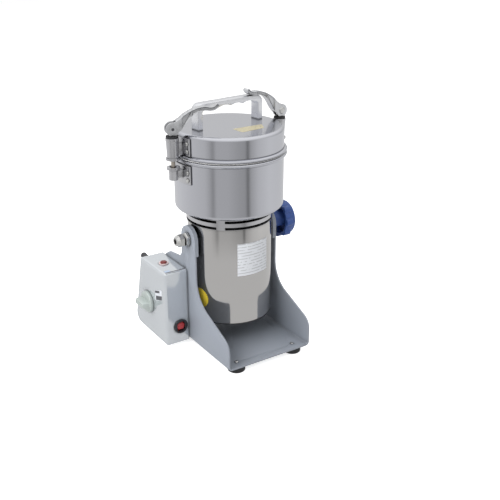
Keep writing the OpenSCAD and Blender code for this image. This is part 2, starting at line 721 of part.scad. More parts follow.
module rotor_core() {
  color([0.45, 0.40, 0.36]) translate([0, 0, stator_low + 1]) difference() {
    union() {
      cylinder(r = rotor_r, h = stator_h - 2);
      translate([0, 0, -5]) cylinder(r1 = rotor_r - 8, r2 = rotor_r - 4, h = 6);
      translate([0, 0, stator_h - 3]) cylinder(r1 = rotor_r - 4, r2 = rotor_r - 8, h = 7);
    }
    translate([0, 0, -10]) cylinder(r = shaft_r, h = stator_h + 20);
  }
}
module commutator() { color([0.75, 0.45, 0.25]) translate([0, 0, stator_low - 20]) pipe(commutator_r, shaft_r, 15); }
module cooling_fan() {
  fan_z = stator_top + fan_gap;
  hub_r = 2 * shaft_r;
  color([0.20, 0.20, 0.22]) difference() {
    union() {
      translate([0, 0, fan_z]) cylinder(r = fan_r, h = 2);
      translate([0, 0, fan_z]) cylinder(r = hub_r, h = fan_h);
      for (i = [0:fan_blades - 1]) rotate([0, 0, 360 / fan_blades * i]) translate([hub_r - 1, -0.8, fan_z + 1]) cube([fan_r - hub_r, 1.6, fan_h - 1]);
    }
    translate([0, 0, fan_z - over]) cylinder(r = shaft_r, h = 20);
  }
}

// Pivot studs and what is on them

module pivot_stud(side, reach, hole_r) {
  flange_x = tube_in - 1;
  at_pivot() rotate([0, 0, side == LEFT ? 180 : 0]) difference() {
    union() {
      along_x(flange_x - 4) cylinder(r = shoulder_r, h = 4);
      along_x(flange_x - 4) cylinder(r = stud_r, h = reach - flange_x + 4);
      difference() {
        along_x(tube_r - 4) cylinder(r = shoulder_r, h = pad_x - clear - tube_r + 4);
        translate([0, 0, -shoulder_r - over]) cylinder(r = tube_r, h = 2 * (shoulder_r + over));
      }
    }
    if (hole_r > 0) along_x(0) cylinder(r = hole_r, h = reach + over);
  }
}
washer_x = outer_x + clear;
nut_x = washer_x + washer_t;
end_nut_x = nut_x + pivot_nut_t + thread_show;
module left_stud() { color([0.72, 0.72, 0.70]) pivot_stud(LEFT, end_nut_x + end_nut_t - 3, passage_r); }
module right_stud() { color([0.72, 0.72, 0.70]) pivot_stud(RIGHT, nut_x + star_len - 8, 0); }
module pivot_washers() {
  color([0.74, 0.74, 0.73]) at_pivot() for (side = [LEFT, RIGHT]) rotate([0, 0, side == LEFT ? 180 : 0]) along_x(washer_x) pipe(washer_r, stud_r, washer_t);
}
module left_pivot_nuts() {
  corner_r = pivot_nut_af / 2 / cos(30);
  hex_t = 6;
  color([0.76, 0.76, 0.73]) at_pivot() rotate([0, 0, 180]) {
    difference() {
      along_x(nut_x) cylinder(r = corner_r, h = pivot_nut_t, $fn = 6);
      along_x(nut_x - over) cylinder(r = stud_r, h = pivot_nut_t + 2 * over);
    }
    difference() {
      union() {
        along_x(end_nut_x) cylinder(r = corner_r, h = hex_t, $fn = 6);
        along_x(end_nut_x + hex_t) cylinder(r1 = pivot_nut_af / 2, r2 = pivot_nut_af / 2 - 2.5, h = end_nut_t - hex_t);
      }
      along_x(end_nut_x - over) cylinder(r = stud_r, h = end_nut_t - 3 + over);
      along_x(end_nut_x) cylinder(r = passage_r, h = end_nut_t + over);
    }
  }
}
lobe_r = 6.5;
// Lobes round the rim's inner part, a plain round cap outside them and a hollow that opens inwards
module clamping_knob() {
  core_r = star_face_r + 0.5;
  rim_x = nut_x + star_len - star_rim_t;
  color([0.16, 0.25, 0.55]) at_pivot() difference() {
    union() {
      difference() {
        union() {
          along_x(rim_x) linear_extrude(star_skirt_t) {
            circle(r = core_r);
            for (i = [0:star_lobes - 1]) rotate(360 / star_lobes * i) translate([star_r - lobe_r, 0]) circle(r = lobe_r);
          }
          along_x(rim_x + 1) rotate_extrude() polygon([
            [0, 0], [star_face_r, 0], [star_face_r, star_rim_t - 3.6], [star_face_r - 0.8, star_rim_t - 2],
            [star_face_r - 2.6, star_rim_t - 1], [0, star_rim_t - 1]
          ]);
        }
        along_x(rim_x - over) pipe(core_r - 3.5, star_hub_r - 1, star_rim_t - 5 + over);
      }
      along_x(nut_x + clear) cylinder(r = star_hub_r, h = star_len - clear - 3);
    }
    along_x(nut_x) cylinder(r = insert_r, h = star_len - 6);
  }
}
module knob_insert() {
  color([0.80, 0.65, 0.32]) at_pivot() along_x(nut_x + clear) pipe(insert_r, stud_r + run_gap, star_len - 6 - clear);
}

// Bowl

bowl_screw_at = 38;
bowl_screw_r = 2.5;
// Half outline of a rim bead that stands out from the wall between two heights
function bead(z0, z1) = arc([bowl_r, (z0 + z1) / 2], (z1 - z0) / 2, -90, 90, 10);
function stretched(p, x0, k) = [for (q = p) [x0 + (q.x - x0) * k, q.y]];
module bowl() {
  // Angle at which the inside of the corner reaches the floor
  floor_meets = asin((bowl_corner - floor_t) / (bowl_corner - bowl_wall));
  color([0.76, 0.77, 0.79]) difference() {
    rotate_extrude() polygon(concat(
      [[0, bowl_z], [bowl_r - bowl_corner, bowl_z]],
      arc([bowl_r - bowl_corner, bowl_z + bowl_corner], bowl_corner, -80, 0, 8),
      stretched(bead(rim_z - bead_h, rim_z), bowl_r, bead_out / bead_h * 2),
      [[bowl_in, rim_z]],
      arc([bowl_r - bowl_corner, bowl_z + bowl_corner], bowl_corner - bowl_wall, 0, -floor_meets, 7),
      [[0, bowl_z + floor_t]]
    ));
    translate([0, 0, bowl_z - over]) cylinder(r = shaft_r + 3, h = floor_t + 2 * over);
    quarter() translate([bowl_screw_at, 0, bowl_z - over]) cylinder(r = bowl_screw_r, h = floor_t + 2 * over);
  }
}
module bowl_screws() {
  color([0.70, 0.71, 0.73]) quarter() translate([bowl_screw_at, 0, bowl_z + floor_t]) pan_screw(bowl_screw_r, floor_t + 7, 4.5);
}
module shaft_seal() {
  color([0.12, 0.12, 0.13]) translate([0, 0, bowl_z]) union() {
    pipe(shaft_r + 3, shaft_r + 2 * run_gap, floor_t + 1);
    translate([0, 0, floor_t]) pipe(shaft_r + 5, shaft_r + 2 * run_gap, 1);
  }
}

// Cutters

stack_z = bowl_z + floor_t + 1 + clear;
cutter_z = bowl_z + floor_t + cutter_lift;
stack_top = cutter_z + (cutters_n - 1) * cutter_step + cutter_t;
module cutters() {
  tip_w = 0.55 * cutter_w;
  color([0.80, 0.81, 0.82]) for (i = [0:cutters_n - 1]) translate([0, 0, cutter_z + i * cutter_step]) rotate([0, 0, 20 + 60 * i]) difference() {
    linear_extrude(cutter_t) polygon([
      [-cutter_r, -tip_w / 2], [-cutter_r + 6, -cutter_w / 2], [cutter_r - 14, -cutter_w / 2], [cutter_r, tip_w / 2 - 4],
      [cutter_r, tip_w / 2], [cutter_r - 6, cutter_w / 2], [-cutter_r + 14, cutter_w / 2], [-cutter_r, -tip_w / 2 + 4]
    ]);
    translate([0, 0, -over]) cylinder(r = shaft_r, h = cutter_t + 2 * over);
    for (a = [0, 180]) rotate([0, 0, a]) translate([14, cutter_w / 2, cutter_t]) rotate([0, 90, 0]) rotate([0, 0, 45]) cylinder(r = cutter_t * 0.8, h = cutter_r, $fn = 4);
  }
}
module cutter_spacers() {
  color([0.70, 0.71, 0.73]) {
    translate([0, 0, stack_z]) pipe(shaft_r + 4, shaft_r, cutter_z - stack_z);
    for (i = [0:cutters_n - 2]) translate([0, 0, cutter_z + i * cutter_step + cutter_t]) pipe(shaft_r + 4, shaft_r, cutter_step - cutter_t);
  }
}
module cutter_nut() {
  color([0.74, 0.75, 0.77]) translate([0, 0, stack_top]) difference() {
    union() {
      cylinder(r = shaft_r + 5, h = 6, $fn = 6);
      translate([0, 0, 6]) cylinder(r1 = shaft_r + 3, r2 = shaft_r - 1, h = 4);
    }
    translate([0, 0, -over]) cylinder(r = shaft_r, h = 7 + over);
  }
}

// Lid

module lid_shell() {
  color([0.77, 0.78, 0.80]) difference() {
    rotate_extrude() polygon(concat(
      stretched(bead(seam_z, seam_z + lid_bead_h), bowl_r, bead_out / lid_bead_h * 2),
      arc([bowl_r - lid_edge_r, lid_z - lid_edge_r], lid_edge_r, 0, 90, 8),
      [[0, lid_z], [0, lid_z - bowl_wall]],
      arc([bowl_r - lid_edge_r, lid_z - lid_edge_r], lid_edge_r - bowl_wall, 90, 0, 8),
      [[bowl_in, seam_z]]
    ));
    at_handle() for (x = [-1, 1]) translate([x * (handle_half - post_t / 2), 0, -10]) cylinder(r = handle_screw_r, h = 20);
  }
}
liner_r = bowl_in - skirt_gap;
module lid_liner() {
  color([0.72, 0.73, 0.75]) rotate_extrude() polygon([
    [0, seam_z + liner_h], [liner_r, seam_z + liner_h], [liner_r, seam_z + liner_t], [bowl_in, seam_z + liner_t],
    [bowl_in, seam_z], [liner_r, seam_z], [liner_r, rim_z - skirt_drop], [liner_r - liner_t, rim_z - skirt_drop],
    [liner_r - liner_t, seam_z + liner_h - liner_t], [0, seam_z + liner_h - liner_t]
  ]);
}
module lid_gasket() {
  color([0.72, 0.72, 0.72]) translate([0, 0, rim_z]) pipe(bowl_r + bead_out - 1.6, liner_r, gasket_t);
}
handle_half = handle_l / 2;
window_half = handle_half - post_t;
window_r = 5;
window_top = handle_h - bar_t - scallop_d;
scallop_w = 2 * (window_half - window_r - 2) / scallops;
scallop_r = (scallop_w * scallop_w / 4 + scallop_d * scallop_d) / (2 * scallop_d);
scallop_a = asin(scallop_w / 2 / scallop_r);
// The finger gap's outline, with its scallops along the top
window_outline = concat(
  [[-window_half, -over]],
  arc([-window_half + window_r, window_top - window_r], window_r, 180, 90),
  [for (i = [0:scallops - 1])
    let (c = [(i + 0.5 - scallops / 2) * scallop_w, window_top + scallop_d - scallop_r])
    each arc(c, scallop_r, 90 + scallop_a, 90 - scallop_a * 0.99)],
  arc([window_half - window_r, window_top - window_r], window_r, 90, 0),
  [[window_half, -over]]
);
module lid_handle() {
  color([0.82, 0.83, 0.85]) at_handle() difference() {
    translate([0, handle_w / 2, 0]) rotate([90, 0, 0]) linear_extrude(handle_w)
      polygon(rounded([[-handle_half, 0, 0], [handle_half, 0, 0], [handle_half, handle_h, handle_corner], [-handle_half, handle_h, handle_corner]]));
    translate([0, handle_w / 2 + over, 0]) rotate([90, 0, 0]) linear_extrude(handle_w + 2 * over) polygon(window_outline);
    for (x = [-1, 1]) translate([x * (handle_half - post_t / 2), 0, -over]) cylinder(r = handle_screw_r, h = 12 + over);
  }
}
module handle_screws() {
  color([0.74, 0.75, 0.77]) at_handle() for (x = [-1, 1])
    translate([x * (handle_half - post_t / 2), 0, -bowl_wall]) rotate([180, 0, 0]) pan_screw(handle_screw_r, bowl_wall + 11, 2 * handle_screw_r);
}

// Clamps

sleeve_z = seam_z;
// The cam end rests on the washer, and the washer on the sleeve
sleeve_top = lever_pivot_z - cam_r - clear - cam_washer_t;
sleeve_h = sleeve_top - sleeve_z;
sleeve_rim = 0.6;
sleeve_foot_t = 3;
collar_t = 4;
// The sleeve's tapered shank
module sleeve_shank(grow = 0) {
  shank_h = sleeve_h - sleeve_foot_t + 0.5 - collar_t;
  translate([0, 0, sleeve_z + sleeve_foot_t - 0.5]) cylinder(r1 = sleeve_r - 1.4 + grow, r2 = sleeve_r - 0.4 + grow, h = shank_h);
}
module clamp_sleeves() {
  color([0.73, 0.74, 0.77]) for (side = [LEFT, RIGHT]) at_clamp(side) difference() {
    union() {
      translate([0, 0, sleeve_z]) cylinder(r = sleeve_r + sleeve_rim, h = sleeve_foot_t);
      sleeve_shank();
      translate([0, 0, sleeve_top - collar_t]) cylinder(r = sleeve_r, h = collar_t);
    }
    translate([0, 0, sleeve_z - over]) cylinder(r = rod_r + clear, h = sleeve_h + 2 * over);
  }
}
module cam_washers() {
  color([0.07, 0.07, 0.08]) for (side = [LEFT, RIGHT]) at_clamp(side) translate([0, 0, sleeve_top]) pipe(sleeve_r - 0.6, rod_r + clear, cam_washer_t);
}
// A bracket: a curved plate on the wall and an arm that reaches the clamp's own shape, given as the child
module clamp_bracket(side, z0, h, arm_z, arm_h, screw_z) {
  half_turn = bracket_w / 2 / bowl_r * 180 / PI;
  difference() {
    union() {
      rotate([0, 0, clamp_turn + (side == LEFT ? 180 : 0) - half_turn]) rotate_extrude(angle = 2 * half_turn)
        translate([bowl_r, z0]) square([bracket_t, h]);
      rotate([0, 0, clamp_turn + (side == LEFT ? 180 : 0)]) difference() {
        translate([bowl_r - 3, -bracket_arm_w / 2, arm_z]) cube([clamp_reach - bowl_r + 3, bracket_arm_w, arm_h]);
        translate([0, 0, arm_z - over]) cylinder(r = bowl_r + 0.5, h = arm_h + 2 * over);
      }
    }
    at_clamp(side) children();
    each_bracket_screw(side, screw_z) translate([0, 0, -bracket_t - over]) cylinder(r = bracket_screw_r / 2, h = bracket_t + 2 * over);
  }
}
// The four screws of a bracket, in two rows screw_rows apart; +Z points out of the wall
module each_bracket_screw(side, screw_z) {
  turn = (bracket_w / 2 - screw_inset) / bowl_r * 180 / PI;
  for (a = [-turn, turn], z = [screw_z, screw_z + screw_rows]) rotate([0, 0, clamp_turn + (side == LEFT ? 180 : 0) + a])
    translate([bowl_r + bracket_t, 0, z]) rotate([0, 90, 0]) children();
}
module bracket_screw() { pan_screw(bracket_screw_r / 2, bracket_t - 0.2, bracket_screw_r); }
screw_rows = 11;
screw_inset = 5.5;
screw_lift = 6;
upper_arm_h = 16;
lower_arm_h = 11;
lid_bracket_z = seam_z + lid_bead_h + 0.5;
module lid_brackets() {
  color([0.66, 0.67, 0.70]) for (side = [LEFT, RIGHT])
    clamp_bracket(side, lid_bracket_z, min(bracket_h, lid_z - lid_edge_r - lid_bracket_z), sleeve_z + 6, upper_arm_h, lid_bracket_z + screw_lift)
      sleeve_shank(0.02);
}
module lid_bracket_screws() {
  color([0.78, 0.79, 0.80]) for (side = [LEFT, RIGHT]) each_bracket_screw(side, lid_bracket_z + screw_lift) bracket_screw();
}
cup_top = rim_z - cup_drop;
cup_z = cup_top - cup_h;
cup_body_r = cup_bore_r + 1.5;
module lower_cups() {
  color([0.73, 0.74, 0.77]) for (side = [LEFT, RIGHT]) at_clamp(side) difference() {
    union() {
      translate([0, 0, cup_top - 3.5]) cylinder(r = cup_r, h = 3.5);
      translate([0, 0, cup_z]) cylinder(r = cup_body_r, h = cup_h - 1);
    }
    translate([0, 0, cup_z + 2]) cylinder(r = cup_bore_r, h = cup_h);
  }
}
bowl_bracket_z = cup_top - 26;
module bowl_brackets() {
  color([0.66, 0.67, 0.70]) for (side = [LEFT, RIGHT])
    clamp_bracket(side, bowl_bracket_z, bracket_h, cup_z + 2, lower_arm_h, bowl_bracket_z + screw_lift)
      translate([0, 0, cup_z]) cylinder(r = cup_body_r, h = cup_h);
}
module bowl_bracket_screws() {
  color([0.78, 0.79, 0.80]) for (side = [LEFT, RIGHT]) each_bracket_screw(side, bowl_bracket_z + screw_lift) bracket_screw();
}
// A rod with its cross head in the cup, and its flat eye inside the lever's fork
module clamp_rod(side) {
  i = side == LEFT ? 0 : 1;
  foot_z = cup_z + 4;
  at_clamp(side) rotate([0, 0, 180 + lever_turn[i]]) difference() {
    union() {
      translate([0, 0, foot_z]) cylinder(r = rod_foot_r, h = 4);
      translate([0, 0, foot_z]) cylinder(r = rod_r, h = lever_pivot_z - foot_z);
      translate([0, eye_t / 2, lever_pivot_z]) rotate([90, 0, 0]) cylinder(r = 5.5, h = eye_t);
    }
    translate([0, lever_w, lever_pivot_z]) rotate([90, 0, 0]) cylinder(r = pin_r + run_gap, h = 2 * lever_w);
    for (s = [-1, 1]) translate([-10, s * (eye_t / 2 + 2) - 2, lever_pivot_z - 11]) cube([20, 4, 20]);
  }
}
// The lever from its cam end outwards: the top edge, the curled tip and back along the underside.
// The points are drawn for a lever of 63 mm
function lever_curve(points) = smooth([for (q = points) q * lever_l / 63]);
lever_top = lever_curve([[-2, 8.6], [3, 10.6], [8.5, 14.5], [17, 22.5], [29.5, 30], [42, 33.6], [51, 33.2], [56.5, 35], [60, 38.6], [63, 37.4]]);
lever_under = lever_curve([[63, 37.4], [62.4, 34.4], [58.5, 30.6], [52, 28.7], [44, 28.6], [36.5, 27.2], [28.5, 22.8], [21, 13.5], [15.5, 4], [7.6, -4], [0, -6]]);
module lever(side) {
  i = side == LEFT ? 0 : 1;
  color([0.79, 0.80, 0.82]) difference() {
    at_lever(side) translate([0, lever_w / 2, 0]) rotate([90, 0, 0]) union() {
      cylinder(r = cam_r, h = lever_w);
      linear_extrude(lever_w) polygon(concat(lever_top, lever_under, [[-2, 0]]));
    }
    at_lever(side) translate([0, lever_w / 2 + over, 0]) rotate([90, 0, 0]) cylinder(r = pin_r, h = lever_w + 2 * over);
    at_lever(side) translate([0, eye_t / 2 + fork_gap, 0]) rotate([90, 0, 0]) cylinder(r = cam_r + 2.5, h = eye_t + 2 * fork_gap);
  }
}
module lever_pin(side) {
  color([0.60, 0.61, 0.63]) at_lever(side) translate([0, lever_w / 2, 0]) rotate([90, 0, 0]) cylinder(r = pin_r, h = lever_w);
}
module left_rod() { color([0.70, 0.66, 0.62]) clamp_rod(LEFT); }
module right_rod() { color([0.70, 0.66, 0.62]) clamp_rod(RIGHT); }

// Places the model with the middle of its footprint at the origin
x_low = box_x - clear - timer_disc_t - timer_grip_h;
x_high = max(nut_x + star_len, clamp_reach * cos(clamp_turn) + sleeve_r + sleeve_rim);
y_high = max([for (p = concat(box_outline, side_outline)) p.x]);
module placed() { translate([-(x_low + x_high) / 2, (stand_front - y_high) / 2, 0]) children(); }

placed() {
  stand_frame();
  pivot_pads();
  feet();
  foot_screws();
  control_box();
  box_screws();
  timer_body();
  switch_body();
  reset_body();
  cable_gland();
  motor_housing();
  vent_ring();
  bottom_cap();
  upper_shield();
  lower_shield();
  stator_core();
  field_coils();
  brush_holders();
  brushes();
  upper_bearing();
  lower_bearing();
  left_stud();
  right_stud();
  pivot_washers();
  left_pivot_nuts();
  bowl();
  bowl_screws();
  shaft_seal();
  lower_cups();
  bowl_brackets();
  bowl_bracket_screws();
  motor_shaft();
  rotor_core();
  commutator();
  cooling_fan();
  cutters();
  cutter_spacers();
  cutter_nut();
  lid_shell();
  lid_liner();
  lid_gasket();
  lid_handle();
  handle_screws();
  clamp_sleeves();
  cam_washers();
  lid_brackets();
  lid_bracket_screws();
  left_rod();
  right_rod();
  lever(LEFT);  // left_lever
  lever(RIGHT);  // right_lever
  lever_pin(LEFT);  // left_lever_pin
  lever_pin(RIGHT);  // right_lever_pin
  clamping_knob();
  knob_insert();
  timer_knob();
  timer_shaft();
  rocker();
  reset_button();
}
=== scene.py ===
# %% [markdown]
# # Electric spice grinder
# A steel grinding bowl with a clamped lid stands on a polished motor tube, which tips forward in a U-shaped stand
# of grey painted sheet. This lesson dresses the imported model: it lights a small studio, gives every part its
# finish, and builds the pieces that are too fine for the solid model.

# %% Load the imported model
import json
import math

import bmesh
import bpy
from mathutils import Matrix, Vector


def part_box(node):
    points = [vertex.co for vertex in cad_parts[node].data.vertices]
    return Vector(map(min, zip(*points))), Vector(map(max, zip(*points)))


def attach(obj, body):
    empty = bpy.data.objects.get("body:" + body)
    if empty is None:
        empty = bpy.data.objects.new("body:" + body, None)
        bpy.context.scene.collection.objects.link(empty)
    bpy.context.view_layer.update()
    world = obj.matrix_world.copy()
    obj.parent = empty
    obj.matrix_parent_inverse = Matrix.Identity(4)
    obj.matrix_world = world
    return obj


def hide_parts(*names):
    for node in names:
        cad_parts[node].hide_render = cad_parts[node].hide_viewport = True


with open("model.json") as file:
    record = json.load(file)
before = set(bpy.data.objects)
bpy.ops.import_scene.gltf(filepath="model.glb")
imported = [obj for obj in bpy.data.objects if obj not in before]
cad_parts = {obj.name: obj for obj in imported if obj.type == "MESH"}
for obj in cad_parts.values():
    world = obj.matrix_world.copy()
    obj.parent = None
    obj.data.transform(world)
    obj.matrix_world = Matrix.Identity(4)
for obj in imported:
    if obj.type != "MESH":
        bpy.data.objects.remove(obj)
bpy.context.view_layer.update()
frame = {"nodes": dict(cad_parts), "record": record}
nodes, record = frame["nodes"], frame["record"]

# %% [markdown]
# The motor tube's axis is the best place to measure from, because most of the machine is round about it.
# Sizes below are in millimetres from that axis and from the floor, and `at` turns them into the frame's metres.

# %% Measure from the tube's axis
MM = 0.001
tube_low, tube_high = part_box("motor_housing")
AXIS = Vector(((tube_low.x + tube_high.x) / 2, (tube_low.y + tube_high.y) / 2, 0))
TUBE_R = (tube_high.x - tube_low.x) / 2 / MM


def at(x, y, z):
    return AXIS + Vector((x, y, z)) * MM


print("tube axis", tuple(round(v, 5) for v in AXIS), "radius", round(TUBE_R, 2))

# %% [markdown]
# The camera looks down at the machine from its front left corner, as a catalogue photographer does for a tall
# object. Its lens is a little longer than normal, so that the upright lines converge only slightly. A turn counts
# from the front towards the right, so the camera's is negative.

# %% Camera
TURN, TILT = math.radians(-33.25), math.radians(22.74)
DISTANCE = 1206.5
AIM = at(35.1, -3.6, 139.5)
SENSOR, FOCAL_PIXELS, PICTURE_PIXELS = 36, 767.67, 500


def heading(turn, height):
    """The direction from the machine towards a turn and a height, both in radians"""
    return Vector((math.sin(turn) * math.cos(height), -math.cos(turn) * math.cos(height), math.sin(height)))


camera = bpy.data.objects.new("camera", bpy.data.cameras.new("camera"))
camera.data.sensor_width = SENSOR
camera.data.lens = SENSOR * FOCAL_PIXELS / PICTURE_PIXELS
camera.data.clip_end = 20
backwards = heading(TURN, TILT)
camera.location = AIM + backwards * DISTANCE * MM
camera.rotation_euler = (-backwards).to_track_quat("-Z", "Y").to_euler()
bpy.context.scene.collection.objects.link(camera)
bpy.context.scene.camera = camera
print("camera at", tuple(round(v, 3) for v in camera.location))

# %% [markdown]
# The room, the floor and the finishes are all graphs of shader nodes. A few short helpers write them: one fills a
# socket with a value or links it to another socket, and the others add a node, a sum or a mix of two colours.


# %% Helpers for shader nodes
def feed(tree, socket, value):
    """Links another node's socket to this one, or sets its value"""
    if isinstance(value, bpy.types.NodeSocket):
        tree.links.new(value, socket)
    else:
        socket.default_value = value


def add(tree, kind, inputs=None, **settings):
    """A new shader node; inputs fills its sockets, which are called by name or by number"""
    node = tree.nodes.new("ShaderNode" + kind)
    for label, value in settings.items():
        setattr(node, label, value)
    for key, value in (inputs or {}).items():
        feed(tree, node.inputs[key], value)
    return node


def maths(tree, operation, *values):
    return add(tree, "Math", dict(enumerate(values)), operation=operation).outputs[0]


def vector_maths(tree, operation, *values):
    return add(tree, "VectorMath", dict(enumerate(values)), operation=operation).outputs


def colour_mix(tree, amount, first, second):
    """A colour between two, by a mask"""
    return add(tree, "Mix", {0: amount, 6: first, 7: second}, data_type="RGBA").outputs[2]


def object_place(tree):
    return add(tree, "TexCoord").outputs["Object"]


# %% [markdown]
# Metal shows its surroundings more than its own colour, so the studio matters as much as the finishes. The air is
# white to the camera and lights the object at a plain level. A mirrored ray sees a room: its ceiling is brighter
# than its far walls, which gives the lid's top and the rounded edges their soft shading.

# %% White room
WALLS, CEILING, AIR_LIGHT = 0.45, 1.15, 0.46


def ray_value(tree, to_camera, to_mirror, to_light):
    """A number that depends on what asks for it: the camera, a mirrored ray or plain light"""
    path = add(tree, "LightPath").outputs
    mirrored = maths(tree, "MAXIMUM", path["Is Glossy Ray"], path["Is Transmission Ray"])
    unseen = add(tree, "Mix", {0: mirrored, 2: to_light, 3: to_mirror}).outputs[0]
    return add(tree, "Mix", {0: path["Is Camera Ray"], 2: unseen, 3: to_camera}).outputs[0]


scene = bpy.context.scene
scene.view_settings.view_transform = "Standard"
scene.world = bpy.data.worlds.new("white_room")
scene.world.use_nodes = True
tree = scene.world.node_tree
upwards = add(tree, "SeparateXYZ", {0: add(tree, "TexCoord").outputs["Generated"]}).outputs["Z"]
rise = {"Value": upwards, "From Min": -0.3, "To Min": WALLS, "To Max": CEILING}
ceiling = add(tree, "MapRange", rise, interpolation_type="SMOOTHSTEP").outputs[0]
air = tree.nodes["Background"].inputs
feed(tree, air["Color"], (1.0, 1.0, 1.0, 1))
feed(tree, air["Strength"], ray_value(tree, 1.0, ceiling, AIR_LIGHT))
print("room's walls", WALLS, "and ceiling", CEILING)

# %% [markdown]
# An upright polished wall that is seen from above mirrors the floor. A photographer lays grey cards with darker
# borders on it, outside the picture, to draw soft bands on the steel. Here a mirrored ray meets such a pattern: it
# depends on the direction round the machine, and starts about half a metre away from it.

# %% Cards on the floor
# Brightness by direction, in degrees from the camera's side towards the right
CARDS = [
    (-180, 0.74), (-115, 0.83), (-46, 0.66), (-36, 0.52), (-30, 0.36), (-23, 0.58), (0, 0.57), (20, 0.48),
    (34, 0.44), (39, 0.19), (45, 0.50), (62, 0.70), (90, 0.82), (140, 0.74),
]
CARDS_START, CARDS_FULL = 0.42, 0.54
NEAR_FLOOR = (0.70, 0.70, 0.70, 1)

floor_paint = bpy.data.materials.new("floor_white")
floor_paint.use_nodes = True
tree = floor_paint.node_tree
tree.nodes.remove(tree.nodes["Principled BSDF"])
spot = vector_maths(tree, "SUBTRACT", object_place(tree), AXIS)["Vector"]
ahead = vector_maths(tree, "DOT_PRODUCT", spot, (math.sin(TURN), -math.cos(TURN), 0))["Value"]
side = vector_maths(tree, "DOT_PRODUCT", spot, (math.cos(TURN), math.sin(TURN), 0))["Value"]
angle = maths(tree, "ARCTAN2", side, ahead)
around = add(tree, "MapRange", {"Value": angle, "From Min": -math.pi, "From Max": math.pi}).outputs[0]
cards = add(tree, "ValToRGB", {"Fac": around})
borders = cards.color_ramp.elements
while len(borders) < len(CARDS):
    borders.new(0.5)
for border, (degrees, value) in zip(borders, CARDS):
    border.position = degrees / 360 + 0.5
    border.color = (value, value, value, 1)
away = {"Value": vector_maths(tree, "LENGTH", spot)["Value"], "From Min": CARDS_START, "From Max": CARDS_FULL}
laid = colour_mix(tree, add(tree, "MapRange", away).outputs[0], NEAR_FLOOR, cards.outputs["Color"])
print("card borders", len(borders))

# %% [markdown]
# To the camera and to plain light the floor is a matte white sheet that keeps the machine's shadow. It glows a
# little, to the camera alone, so that it melts into the white air.

# %% Floor
FLOOR_WHITE, FLOOR_GLOW = (0.86, 0.86, 0.87, 1), 0.75
FLOOR_REACH, FLOOR_DROP = 6, 0.0002
matte = add(tree, "BsdfDiffuse", {"Color": FLOOR_WHITE})
glow = add(tree, "Emission", {"Strength": ray_value(tree, FLOOR_GLOW, 0.0, 0.0)})
seen = add(tree, "AddShader", {0: matte.outputs[0], 1: glow.outputs[0]})
mirror_image = add(tree, "Emission", {"Color": laid})
by_ray = {"Fac": ray_value(tree, 0.0, 1.0, 0.0), 1: seen.outputs[0], 2: mirror_image.outputs[0]}
feed(tree, tree.nodes["Material Output"].inputs["Surface"], add(tree, "MixShader", by_ray).outputs[0])

bm = bmesh.new()
corners = ((-1, -1), (1, -1), (1, 1), (-1, 1))
bm.faces.new([bm.verts.new((x * FLOOR_REACH, y * FLOOR_REACH, -FLOOR_DROP)) for x, y in corners])
mesh = bpy.data.meshes.new("floor")
bm.to_mesh(mesh)
bm.free()
mesh.materials.append(floor_paint)
floor = bpy.data.objects.new("floor", mesh)
scene.collection.objects.link(floor)
print("floor", 2 * FLOOR_REACH, "m wide")

# %% [markdown]
# Four square soft boxes light the machine. They don't show in a mirrored ray, because a lamp that shows in
# polished steel is a hard white patch; the cards and the ceiling take that place. A small one near the left ear
# brightens the grey paint there.

# %% Lamps
LOOKS_AT = at(0, 0, 190)
# Turn and height in degrees, distance and size in metres, and power
SOFTBOXES = {
    "left_softbox": (-105, 40, 1.1, 0.7, 6),
    "ear_softbox": (-61, 27, 0.58, 0.3, 1.8),
    "right_softbox": (30, 45, 1.6, 0.9, 4.2),
    "top_softbox": (150, 76, 1.5, 1.0, 10),
}
for name, (turn, height, distance, size, power) in SOFTBOXES.items():
    light = bpy.data.lights.new(name, "AREA")
    light.shape = "SQUARE"
    light.size = size
    light.energy = power
    lamp = bpy.data.objects.new(name, light)
    way = heading(math.radians(turn), math.radians(height))
    lamp.location = LOOKS_AT + way * distance
    lamp.rotation_euler = (-way).to_track_quat("-Z", "Y").to_euler()
    lamp.visible_glossy = False
    scene.collection.objects.link(lamp)
    print(name, power, "W at", distance, "m")

# %% [markdown]
# Several finishes need the same effects: fine grinding lines round a turned part, straight brushing, the small
# unevenness of paint and mouldings, edges painted lighter as wear and painted highlight (darker on the cast parts,
# as painted edge shade), and corners darkened as painted shade. Each effect is a node group, built once, that puts
# out a mask. Every material then uses it in its own way.


# %% Start an effect
def new_effect(name, **inputs):
    """A node group with an input for each value and one mask; gives its tree, its inputs and the mask's socket"""
    tree = bpy.data.node_groups.new(name, "ShaderNodeTree")
    for label, value in inputs.items():
        kind = "NodeSocketVector" if isinstance(value, tuple) else "NodeSocketFloat"
        tree.interface.new_socket(label, in_out="INPUT", socket_type=kind).default_value = value
    tree.interface.new_socket("Mask", in_out="OUTPUT", socket_type="NodeSocketFloat")
    return tree, tree.nodes.new("NodeGroupInput").outputs, tree.nodes.new("NodeGroupOutput").inputs["Mask"]


def noise(tree, place, scale, detail=4.0, rough=0.6):
    inputs = {"Vector": place, "Scale": scale, "Detail": detail, "Roughness": rough}
    return add(tree, "TexNoise", inputs).outputs["Fac"]


# %% [markdown]
# A polishing wheel leaves lines round the axis of a spinning bowl. Noise in the radius and the height, with the
# angle squeezed almost to nothing, draws lines that run all the way round. Straight brushing is noise that is
# stretched along one direction. The slow unevenness of paint and the grain of a moulding are one noise at two
# scales.

